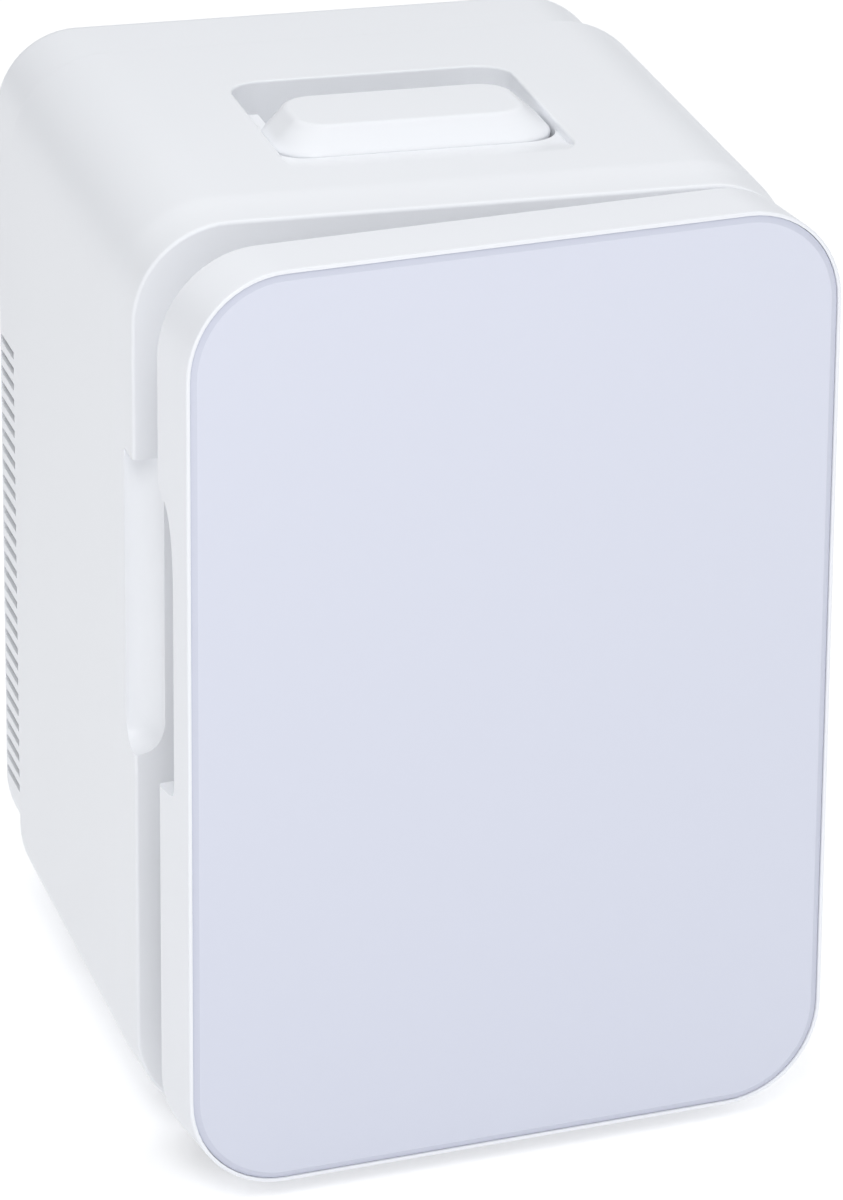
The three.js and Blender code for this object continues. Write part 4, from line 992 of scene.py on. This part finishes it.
def fanBlade(fan, reach):
    # one curved blade that thins and twists towards its tip
    stations, across = 9, 7
    inner, outer = fan["hub"] - 1.5, reach
    work = bmesh.new()
    grids = []
    for side in (1, -1):
        grid = []
        for i in range(stations):
            share = i / (stations - 1)
            radius = inner + (outer - inner) * share
            chord = fan["chord"] * (0.78 + 0.26 * share - 0.1 * share * share)
            tilt = math.radians(44 - 16 * share)
            thick = 0.7 - 0.25 * share
            row = []
            for j in range(across):
                u = j / (across - 1) * 2 - 1
                arch = 0.12 * chord * (1 - u * u)
                skin = side * thick * (1 - 0.75 * u * u)
                along = u * chord / 2
                lift = arch + skin
                sweep = 0.22 * share * fan["chord"]
                tangent = along * math.cos(tilt) - lift * math.sin(tilt) + sweep
                depth = along * math.sin(tilt) + lift * math.cos(tilt)
                row.append(work.verts.new((
                    radius * math.cos(tangent / radius), depth, radius * math.sin(tangent / radius),
                )))
            grid.append(row)
        grids.append(grid)
    top, under = grids
    for i in range(stations - 1):
        for j in range(across - 1):
            work.faces.new((top[i][j], top[i][j + 1], top[i + 1][j + 1], top[i + 1][j]))
            work.faces.new((under[i][j], under[i + 1][j], under[i + 1][j + 1], under[i][j + 1]))
        for j, order in ((0, 1), (across - 1, -1)):
            edge = [top[i][j], top[i + 1][j], under[i + 1][j], under[i][j]]
            work.faces.new(edge[::order])
    for i, order in ((0, -1), (stations - 1, 1)):
        for j in range(across - 1):
            edge = [top[i][j], top[i][j + 1], under[i][j + 1], under[i][j]]
            work.faces.new(edge[::order])
    bmesh.ops.recalc_face_normals(work, faces=work.faces)
    return work


def makeFan(fan):
    xs, ys, zs = nodeSpan(fan["prefix"] + "_fan_frame")
    middle = middleOf(zs)
    front, back = ys
    ring = fan["rotor"] + 2
    frameForm = asObject("fanFrame_" + fan["prefix"], softBlock(xs, ys, zs, 0.4, 4))
    throat = turnedForm([
        (ring + 1.2, front - 1), (ring + 1.2, front), (ring + 0.3, front + 0.9), (ring, front + 1.8),
        (ring, back - 1.2), (ring + 0.6, back), (ring + 0.6, back + 1),
    ], (0, 0, middle), sides=96)
    inset = 4.2
    corners = [(x, z) for x in (xs[0] + inset, xs[1] - inset) for z in (zs[0] + inset, zs[1] - inset)]
    holes = [rod(fanBore, front - 1, back + 1, (x, 0, z), sides=24) for x, z in corners]
    combine(frameForm, "DIFFERENCE", throat, *holes)
    reach = ring + 0.8
    struts = [
        softBlock((-reach, reach), (back - 2.5, back), (middle - 1.5, middle + 1.5), 0.4),
        softBlock((-1.5, 1.5), (back - 2.5, back), (middle - reach, middle + reach), 0.4),
    ]
    hub = turnedForm(roundedEnds(fan["hub"], back - 2.5, back, 0.4), (0, 0, middle), sides=64)
    bore = rod(fanBore, front, back + 1, (0, 0, middle), sides=24)
    combine(frameForm, "UNION", *struts, hub)
    combine(frameForm, "DIFFERENCE", bore)
    place(frameForm, "cabinet", blackPlastic, fan["prefix"] + "_fan_frame")

    node = fan["prefix"] + "_fan_rotor"
    spanX, spanY, _ = nodeSpan(node)
    hubBack = front + fan["depth"] - 3.3
    hubForm = asObject("fanRotor_" + fan["prefix"], turnedForm([
        (fan["hub"] * 0.35, front + 0.6), (fan["hub"] * 0.8, front + 0.7), (fan["hub"] - 0.5, front + 1.1),
        (fan["hub"], front + 2), (fan["hub"], hubBack - 0.2), (fan["hub"] - 0.3, hubBack),
        (1.6, hubBack), (1.5, hubBack + 0.1), (1.5, spanY[1] - 0.4), (1.1, spanY[1]),
    ], (0, 0, middle), sides=64))
    blade = asObject("blade", fanBlade(fan, (spanX[1] - spanX[0]) / 2 - 0.2))
    blades = grown("blades", bladeRing, {
        "Blade": blade, "Count": fan["blades"], "Centre": (0.0, (front + 0.6 + hubBack) / 2, middle),
    }, blackPlastic)
    bpy.data.objects.remove(blade)
    joinMeshes(hubForm, blades)
    place(hubForm, fan["prefix"] + "_rotor", blackPlastic, node)


def makeInnerFanCover():
    xs, ys, zs = nodeSpan("inner_fan_cover")
    front, back = ys
    width, height, middle = xs[1] - xs[0], zs[1] - zs[0], middleOf(zs)
    wall, edge = 2, 3

    def loop(inset, y):
        return standing(width - 2 * inset, height - 2 * inset, 10 - inset, y, 0, middle)

    rows = roundIn(edge, front, 6) + [(0, back), (wall, back)]
    rows += [(wall, front + wall + 1), (wall + 1, front + wall)]
    tray = asObject("innerFanCover", fromLoops([loop(*row) for row in rows]))
    pitch = louvre["pitch"]
    # width, thickness, fillet, count, lowest height and step of the slots and of the two long vents
    for width, thick, fillet, count, low, step in (
        (52.0, 3.0, 1.4, 9, middle - 4 * pitch, pitch),
        (80.0, 5.0, 2.4, 2, middle - height / 2 + 12, height - 24),
    ):
        combine(tray, "DIFFERENCE", grown("coverSlotCutter", barRow, {
            "Length": 8.0, "Width": width, "Thickness": thick, "Fillet": fillet, "Count": count,
            "First": (0.0, front + 1, low), "Step": (0.0, 0.0, step), "Turn": (0.0, 0.0, math.pi / 2),
        }, linerPlastic))
    rib = softBlock((-2, 2), (front, front + wall), (middle - 27, middle + 27), 0.2)
    combine(tray, "UNION", rib)
    place(tray, "cabinet", linerPlastic, "inner_fan_cover")


makeSink(coldSink)
makeSink(hotSink)
makeFan(coldFan)
makeFan(hotFan)
makeInnerFanCover()
print("cooling unit made")


# Rear fittings

def flangedForm(node, flange, depth):
    xs, _, zs = nodeSpan(node)
    width, height = fittingBodies[node]
    x, z = middleOf(xs), middleOf(zs)
    back = cover["depth"] + gap
    body = asObject(node + "Form", softBlock(
        (x - width / 2, x + width / 2), (back - depth, back + 0.5), (z - height / 2, z + height / 2), 0.3,
    ))
    wide, tall = width + 2 * flange, height + 2 * flange
    rim = fromLoops([standing(wide, tall, 3, back, x, z)] + [
        standing(wide - 1.4 * (1 - math.cos(a)), tall - 1.4 * (1 - math.cos(a)), 3 - 0.4 * math.sin(a),
                 back + 1 + 0.8 * math.sin(a), x, z)
        for a in arcSteps(5)
    ])
    return combine(body, "UNION", rim), x, z


def makeInlet():
    form, x, z = flangedForm("mains_inlet", 2.5, 20)
    deep, depth = cover["depth"] - 12, cover["depth"]
    mouth = fromLoops([standing(20, 11, 5.4, y, x, z) for y in (deep, depth + 1.4)] + [
        standing(20.8, 11.8, 5.8, depth + 2.2, x, z), standing(21, 12, 5.9, depth + 5, x, z),
    ])
    combine(form, "DIFFERENCE", mouth)
    pins = [turnedForm(roundedEnds(1.2, deep - 1, depth - 2, 0.8), (x + offset, 0, z), sides=24)
            for offset in (-4.3, 4.3)]
    contacts = asObject("inletPins", pins[0])
    joinMeshes(contacts, asObject("otherPin", pins[1]))
    place(form, "cabinet", blackPlastic, "mains_inlet")
    place(contacts, "cabinet", platedSteel)


def makeSocket():
    xs, _, zs = nodeSpan("low_voltage_socket")
    centre = (middleOf(xs), 0, middleOf(zs))
    back = cover["depth"] + gap
    barrel = asObject("lowVoltageSocket", turnedForm([
        (6, back - 16), (6, back), (8.5, back), (8.5, back + 0.9), (8.2, back + 1.4), (7.6, back + 1.6),
        (4.7, back + 1.6), (4.1, back + 1.1), (4, back + 0.4), (4, back - 12),
    ], centre, sides=64))
    pin = asObject("socketPin", turnedForm(roundedEnds(1.1, back - 13, back - 2, 0.8), centre, sides=24))
    place(barrel, "cabinet", blackPlastic, "low_voltage_socket")
    place(pin, "cabinet", platedSteel)


def makeSwitch():
    form, x, z = flangedForm("switch_bezel", 2, 14)
    depth, back = cover["depth"], cover["depth"] + gap
    inside = softBlock((x - 10, x + 10), (depth - 11, depth + 5), (z - 6, z + 6), 0.3)
    combine(form, "DIFFERENCE", inside)
    place(form, "cabinet", blackPlastic, "switch_bezel")
    outline = [(-3, back - 8), (3, back - 8), (8.4, back - 1), (8.9, back + 2.7), (8.7, back + 3.1)]
    outline += [(u, back + 1.4 + 0.0225 * u * u) for u in (8, 6, 4, 2, 0, -2, -4, -6, -8)]
    outline += [(-8.7, back + 3.1), (-8.9, back + 2.7), (-8.4, back - 1)]
    rocker = asObject("modeRocker", fromLoops([
        [(x + u * (1 - inset), y, height) for u, y in outline]
        for inset, height in ((0.03, z - 5.4), (0, z - 5.1), (0, z + 5.1), (0.03, z + 5.4))
    ]))
    marks = grown("rockerRibs", barRow, {
        "Length": 7.0, "Width": 0.5, "Thickness": 0.5, "Fillet": 0.2, "Count": 3,
        "First": (x + 5.2, back + 2.05, z), "Step": (1.1, 0.24, 0.0), "Turn": (0.0, math.pi / 2, 0.0),
    }, blackPlastic)
    joinMeshes(rocker, marks)
    place(rocker, "rocker", blackPlastic, "mode_switch")


def makeLenses():
    for kind, material in (("cool", coolLens), ("warm", warmLens)):
        node = "indicator_lens_" + kind
        xs, ys, zs = nodeSpan(node)
        front, back = ys
        lens = asObject("indicatorLens_" + kind, turnedForm([
            (2, front), (2, back - 0.5), (1.85, back - 0.3), (1.5, back - 0.12),
            (0.9, back - 0.03), (0.25, back),
        ], (middleOf(xs), 0, middleOf(zs)), sides=36))
        place(lens, "cabinet", material, node)


makeInlet()
makeSocket()
makeSwitch()
makeLenses()
print("rear fittings made")


# Carry handle

handle = {
    "sideGap": 1, "frontGap": 0.6, "rise": 5.5, "depth": 44.4, "under": 6, "frontBevel": 8.5, "endBevel": 10,
    "corner": 16, "bevelFoot": 3, "armRadius": 6, "armWidth": 8, "round": 1.6,
}


def makeHandle():
    length = recess["width"] - 2 * handle["sideGap"]
    front = recess["front"] + recess["run"] + handle["frontGap"]
    back = front + handle["depth"]
    top = cabinet["top"] + handle["rise"]
    base = cabinet["top"] - handle["bevelFoot"]

    def layer(z, ends, fore, aft):
        return lying(
            length - 2 * ends, back - front - fore - aft,
            handle["corner"] - 0.5 * ends, z, 0, (front + fore + back - aft) / 2,
        )

    bevel, ends, soft = handle["frontBevel"], handle["endBevel"], handle["round"]
    rows = [
        (cabinet["top"] - handle["under"], 0.6, 0.6, 1.4),
        (cabinet["top"] - handle["under"] + 0.5, 0.1, 0.1, 0.8),
        (base - 1.0, 0, 0, 0.1),
        (base - 0.3, 0.15, 0.1, 0),
        (base + 0.6, 0.9, 0.8, 0),
    ]
    rise = top - base
    for share in (0.25, 0.45, 0.65, 0.8):
        rows.append((base + share * rise, share * ends, share * bevel, 0.02 * share))
    for share in arcSteps(4)[1:]:
        lift, slide = math.sin(share), 1 - math.cos(share)
        rows.append((
            base + (0.8 + 0.2 * lift) * rise,
            ends * 0.8 + soft * slide + 1.2 * lift,
            bevel * 0.8 + soft * slide + 1.0 * lift,
            0.1 + soft * slide,
        ))
    bar = asObject("carryHandle", fromLoops([layer(*row) for row in rows]))
    low, radius = pivotZ - handle["armRadius"], handle["armRadius"]
    arms = []
    for side in (-1, 1):
        xs = sorted((side * (length / 2 - handle["armWidth"]), side * length / 2))
        outline = [(back - 20, cabinet["top"] - handle["under"] + 1), (back - 20, low + 3)]
        outline += [(back - 17 - 3 * math.sin(a), low + 3 - 3 * math.cos(a))
                    for a in reversed(arcSteps(4)[:-1])]
        outline += [(pivotY + radius * math.sin(a), pivotZ - radius * math.cos(a))
                    for a in (math.pi * step / 16 for step in range(17))]
        outline += [(back - 8, pivotZ + radius), (back - 8, cabinet["top"] - handle["under"] + 1)]
        arms.append(extrudedProfile(outline, *xs))
    combine(bar, "UNION", *arms)
    combine(bar, "DIFFERENCE", rod(pivot["seat"], -length, length, (0, pivotY, pivotZ), "x"))
    place(bar, "handle", whitePlastic, "carry_handle")


makeHandle()
print("carry handle made")


# Door frame and glass, laid out closed and turned ajar

door = {
    "thickness": 29.8, "gap": 1.2, "narrower": 1, "lower": 1.2, "shift": 1.1, "rise": 0.4,
    "wall": 2.6, "frontEdge": 0.7, "backEdge": 2, "lip": 10, "lipThick": 2.5,
    "glassInset": 1.5, "glassGap": 0.15, "glassThick": 3.1, "glassBevel": 2.3, "bevelDepth": 0.9, "ledge": 9,
}
door["back"] = -door["gap"]
door["front"] = door["back"] - door["thickness"]
door["width"] = cabinet["width"] - door["narrower"]
door["height"] = cabinet["height"] - door["lower"]
door["middle"] = cabinet["middle"] + door["rise"]
door["left"] = door["shift"] - door["width"] / 2
door["right"] = door["shift"] + door["width"] / 2
notch = {"bottom": 147, "top": 274, "forward": 15.8, "across": 14, "corner": 4}


def doorLoop(inset, y):
    return standing(
        door["width"] - 2 * inset, door["height"] - 2 * inset, cabinet["corner"] - inset,
        y, door["shift"], door["middle"],
    )


def doorOuterLoops():
    front, back, fore, aft = door["front"], door["back"], door["frontEdge"], door["backEdge"]
    return [doorLoop(*pair) for pair in roundIn(fore, front, 5) + roundOut(aft, back, 5)]


def bezier(a, b, c, d, count=12):
    points = []
    for step in range(1, count + 1):
        t = step / count
        s = 1 - t
        points.append(tuple(
            s ** 3 * a[k] + 3 * s * s * t * b[k] + 3 * s * t * t * c[k] + t ** 3 * d[k] for k in (0, 1)
        ))
    return points


def notchCutter():
    bottom, top = cabinet["base"] + notch["bottom"], cabinet["base"] + notch["top"]
    back, forward, corner = door["back"], notch["forward"], notch["corner"]
    deep = back - forward
    turn = (back - 0.32 * forward, top - 18.2)
    outline = [(back + 1, top), (back, top)]
    first = (back - 0.04 * forward, top - 12), (back - 0.05 * forward, top - 16.5)
    outline += bezier((back, top), *first, turn)
    outline += bezier(turn, (back - 0.76 * forward, top - 21), (deep, top - 31), (deep, top - 52))
    outline += [(deep - inset, z) for inset, z in roundOut(-corner, bottom, 6)]
    outline += [(back + 1, bottom)]
    return extrudedProfile(outline, door["left"] - 1, door["left"] + notch["across"])


def hingeSpans(beyond):
    half = hinge["pinLength"] / 2 + beyond
    return [(z - half, z + half) for z in hinge["heights"].values()]


def hingeCutters():
    x, y, side = hinge["x"], hinge["y"], hinge["earRadius"] + 1
    swing = math.hypot(hinge["earRadius"], y) * math.sin(math.radians(10))
    right, cutters = door["right"], []
    for z in hinge["heights"].values():
        half = hinge["ear"] / 2 + 0.5
        for ys in ((y - side - swing, y + side), (y, door["back"] + 2)):
            cutters.append(softBlock((x - side, right + 2), ys, (z - half, z + half), 0.3))
    return cutters + [rod(hinge["pin"] + gap, *ends, (x, y, 0), "z") for ends in hingeSpans(gap)]


def gripBlock(wall):
    return blockMesh(
        (door["left"] + 1, door["left"] + notch["across"] + wall),
        (door["back"] - notch["forward"] - wall, door["back"]),
        (cabinet["base"] + notch["bottom"] - wall, cabinet["base"] + notch["top"] + wall),
    )


def makeDoorFrame():
    back, front, lip, thick = door["back"], door["front"], door["lip"], door["lipThick"]
    ledgeFront = front + door["glassThick"] + gap
    inner = door["glassInset"] - door["glassGap"]
    ring = asObject("doorFrame", fromLoops([
        doorLoop(inner, front + 0.12),
        doorLoop(inner - 0.12, front),
        *doorOuterLoops(),
        doorLoop(lip, back),
        doorLoop(lip, back - thick),
        doorLoop(door["wall"], back - thick),
        doorLoop(door["wall"], ledgeFront + thick),
        doorLoop(door["ledge"], ledgeFront + thick),
        doorLoop(door["ledge"], ledgeFront),
        doorLoop(inner, ledgeFront),
    ], ring=True))
    envelope = fromLoops(doorOuterLoops())
    wall = door["wall"]
    backing = asObject("gripBacking", gripBlock(wall))
    combine(backing, "INTERSECT", envelope)
    combine(ring, "UNION", backing)
    low, high = cabinet["base"] - 5, cabinet["top"] + 5
    x, y = hinge["x"], hinge["y"]
    edge = asObject("edgeCutter", blockMesh((x, door["right"] + 2), (y, back + 2), (low, high)))
    combine(edge, "DIFFERENCE", rod(hinge["clear"], low - 1, high + 1, (x, y, 0), "z", 96))
    for zs in hingeSpans(3):
        block = asObject("hingeBacking", blockMesh((x - 8, door["right"] - 0.5), (y - 8, back), zs))
        combine(block, "INTERSECT", fromLoops(doorOuterLoops()))
        combine(ring, "UNION", block)
    combine(ring, "DIFFERENCE", notchCutter(), edge, *hingeCutters())
    place(ring, "door", doorPlastic, "door_frame")


def makeGlass():
    inset, bevel, front = door["glassInset"], door["glassBevel"], door["front"]
    drop, thick = door["bevelDepth"], door["glassThick"]
    rows = [(inset + bevel + 0.5, 0), (inset + bevel + 0.1, 0.01), (inset + bevel, 0.06)]
    rows += [(inset + bevel, thick)]
    bevelRows = [(inset + bevel, thick), (inset + bevel, 0.06), (inset + bevel - 0.2, 0.16)]
    bevelRows += [(inset + 0.1, drop - 0.04), (inset, drop + 0.1), (inset, thick)]
    pane = asObject("doorGlass", fromLoops([doorLoop(i, front + d) for i, d in rows]))
    border = asObject("glassBevel", fromLoops([doorLoop(i, front + d) for i, d in bevelRows], ring=True))
    # the bevel ring takes the darker copy of the glass colour, painted shade on the bevel
    place(border, "door", glassBevelPaintedShade, sharp=60)
    place(pane, "door", glassFront, "door_glass", sharp=60)


plug = {
    "width": 178, "height": 258, "corner": 8, "rise": 7, "rim": 9, "wall": 2, "pocketDepth": 17,
    "gasketInset": 17.6, "gasketWidth": 7.5, "rackHeight": 34, "rackWall": 2, "racks": (26, 146),
    "bend": 2.2, "footRound": 3, "rackRound": 1.5,
}
plug["back"] = door["back"] - door["lipThick"] - gap
plug["pocketBack"] = door["back"] - plug["pocketDepth"]


def plugLoop(inset, y):
    return standing(
        plug["width"] - 2 * inset, plug["height"] - 2 * inset, plug["corner"] - inset,
        y, door["shift"], cavity["middle"],
    )


def rackPlaces():
    low = cavity["middle"] - plug["height"] / 2 + plug["rim"]
    return [low + height for height in plug["racks"]]


def roomForBackings():
    across, ys = (hinge["x"] - 8 - gap, door["right"] - 0.5), (hinge["y"] - 8 - gap, door["back"])
    return [gripBlock(door["wall"] + gap)] + [blockMesh(across, ys, zs) for zs in hingeSpans(3 + gap)]


def makeDoorPanel():
    rise, rim, wall, bend = plug["rise"], plug["rim"], plug["wall"], plug["bend"]
    flange = door["wall"] + gap
    footRows = roundOut(-plug["footRound"], plug["pocketBack"], 4)
    rows = [plugLoop(rim - inset, y) for inset, y in reversed(footRows)]
    rows += [plugLoop(rim - inset, y) for inset, y in roundOut(bend, rise, 4)]
    rows += [plugLoop(-inset, y) for inset, y in roundIn(-bend, rise, 4)]
    rows += [
        plugLoop(0, plug["back"]),
        doorLoop(flange, plug["back"]),
        doorLoop(flange, plug["back"] - wall),
        plugLoop(wall, plug["back"] - wall),
        plugLoop(wall, rise - wall),
        plugLoop(rim - wall, rise - wall),
        plugLoop(rim - wall, plug["pocketBack"] - wall),
    ]
    panel = asObject("doorInnerPanel", fromLoops(rows))
    left = door["shift"] - plug["width"] / 2 + rim
    right = door["shift"] + plug["width"] / 2 - rim
    ledges = [softBlock(xs, (plug["pocketBack"] + 2, rise - 4), (z - 3 - gap, z - gap), 0.6)
              for z in rackPlaces() for xs in ((left - 1, left + 6), (right - 6, right + 1))]
    combine(panel, "UNION", *ledges)
    combine(panel, "DIFFERENCE", *roomForBackings())
    place(panel, "door", linerPlastic, "door_inner_panel")


def makeGasket():
    # a soft frame with a fold along each side and a rounded lip
    inset, width, front = plug["gasketInset"], plug["gasketWidth"], plug["back"] + gap
    profile = [(0.4, 0), (0, 0.3), (0, 0.75), (0.55, 1.05), (0.2, 1.4), (0.35, 2.0), (0.9, 2.5), (1.8, 2.72)]
    tall = 2.8
    rows = profile + [(width / 2, tall)] + [(width - u, y) for u, y in reversed(profile)]
    top = -gap - front
    loops = [doorLoop(inset + u, front + y * top / tall) for u, y in rows]
    gasket = asObject("doorGasket", fromLoops(loops, ring=True))
    place(gasket, "door", sealRubber, "door_gasket", sharp=60)


def makeRacks():
    half = plug["width"] / 2 - plug["rim"] - 1
    fore, aft = plug["pocketBack"] + gap, plug["rise"] - 2
    tall, wall, x, y = plug["rackHeight"], plug["rackWall"], door["shift"], (fore + aft) / 2

    def layer(inset, z):
        return lying(2 * half - 2 * inset, aft - fore - 2 * inset, 3 - inset * 0.5, z, x, y)

    for name, z in zip(("lower", "upper"), rackPlaces()):
        top = z + tall
        lip = wall / 2
        rows = roundIn(plug["rackRound"], z, 4) + roundOut(lip, top, 3)
        rows += [(wall + inset, y) for inset, y in roundIn(-lip, top, 3)[1:]]
        rows += [(wall, z + wall + 1.2), (wall + 0.4, z + wall + 0.4), (wall + 1.2, z + wall)]
        rack = asObject("doorRack_" + name, fromLoops([layer(*row) for row in rows]))
        dip = softBlock(
            (x - half + 14, x + half - 14), (aft - wall - 1, aft + 1),
            (z + 0.72 * tall, z + 2 * tall), 0.2, 6,
        )
        combine(rack, "DIFFERENCE", dip)
        place(rack, "door", rackPlastic, "door_rack_" + name)


makeDoorFrame()
makeGlass()
makeDoorPanel()
makeGasket()
makeRacks()
print("door made")

# hidden nodes whose CAD shape is right keep it
for node, material in {
    "bulkhead": whitePlastic, "cabinet_foam": insulationFoam, "door_foam": insulationFoam,
    "conduction_block": finAluminium, "thermoelectric_module": ceramicWhite, "power_board": boardGreen,
    "board_transformer": blackPlastic, "board_capacitor": blackPlastic, "board_heat_plate": finAluminium,
}.items():
    for held in frame["nodes"][node].material_slots:
        held.material = material


# Camera, light and floor

def makeCamera():
    view = bpy.data.cameras.new("camera")
    view.lens = 213.9
    view.sensor_width = 36
    view.clip_end = 50
    camera = bpy.data.objects.new("camera", view)
    yaw, pitch, roll = 0.262, 0.375, 0.008
    forward = Vector((math.sin(yaw) * math.cos(pitch), math.cos(yaw) * math.cos(pitch), -math.sin(pitch)))
    right = Vector((math.cos(yaw), -math.sin(yaw), 0))
    up = right.cross(forward)
    turnedRight = right * math.cos(roll) + up * math.sin(roll)
    turnedUp = up * math.cos(roll) - right * math.sin(roll)
    camera.matrix_world = Matrix((
        (turnedRight.x, turnedUp.x, -forward.x, 0),
        (turnedRight.y, turnedUp.y, -forward.y, 0),
        (turnedRight.z, turnedUp.z, -forward.z, 0),
        (0, 0, 0, 1),
    ))
    camera.location = shellLow + Vector((-0.4999, -2.2544, 1.1122))
    bpy.context.scene.collection.objects.link(camera)
    bpy.context.scene.camera = camera


def makeFloor():
    work = bmesh.new()
    bmesh.ops.create_grid(work, x_segments=1, y_segments=1, size=6)
    floor = asObject("studioFloor", work)
    material, tree = newMaterial("paleFloor")
    # the floor glows fully for the camera alone, so that it lights the side wall less
    seen = addNode(tree, "ShaderNodeLightPath")["Is Camera Ray"]
    coat(tree, {
        "Base Color": (0.96, 0.96, 0.965, 1), "Roughness": 0.9, "Specular IOR Level": 0.1,
        "Emission Color": (1, 1, 1, 1), "Emission Strength": maths(tree, "MULTIPLY_ADD", seen, 0.11, 0.17),
    })
    floor.data.materials.append(material)
    floor.location.z = -0.0005


def makeFlag():
    # a dark wall a long way off to the left, its numbers in metres
    card = asObject("sideCard", blockMesh((-450, -445), (-160, 900), (0, 300)))
    material, tree = newMaterial("cardGrey")
    coat(tree, {"Base Color": (0.12, 0.12, 0.125, 1), "Roughness": 0.9})
    card.data.materials.append(material)


def areaLight(name, location, target, size, power, colour=(1, 1, 1)):
    light = bpy.data.lights.new(name, "AREA")
    light.shape = "RECTANGLE"
    light.size, light.size_y = size
    light.energy = power
    light.color = colour
    lamp = bpy.data.objects.new(name, light)
    lamp.location = location
    aim = Vector(target) - Vector(location)
    lamp.rotation_euler = aim.to_track_quat("-Z", "Y").to_euler()
    bpy.context.scene.collection.objects.link(lamp)


def makeWorld():
    world = bpy.data.worlds.new("studio")
    world.use_nodes = True
    tree = world.node_tree
    parts = addNode(tree, "ShaderNodeSeparateXYZ", {0: addNode(tree, "ShaderNodeTexCoord")["Generated"]})
    sky = colourRamp(tree, parts["Z"], (0.34, 0.35, 0.37), (0.98, 0.99, 1.0))
    fill(tree, tree.nodes["Background"], {"Color": sky})
    bpy.context.scene.world = world


def makeLight():
    makeWorld()
    areaLight("frontSoftbox", (-0.55, -1.45, 1.6), (0, -0.1, 0.25), (0.8, 0.8), 10)
    areaLight("topSoftbox", (-0.2, 0.3, 2.0), (0, 0, 0.2), (1.4, 1.4), 1.2)
    bpy.context.scene.view_settings.view_transform = "Standard"


makeCamera()
makeFloor()
makeFlag()
makeLight()
print("studio made")
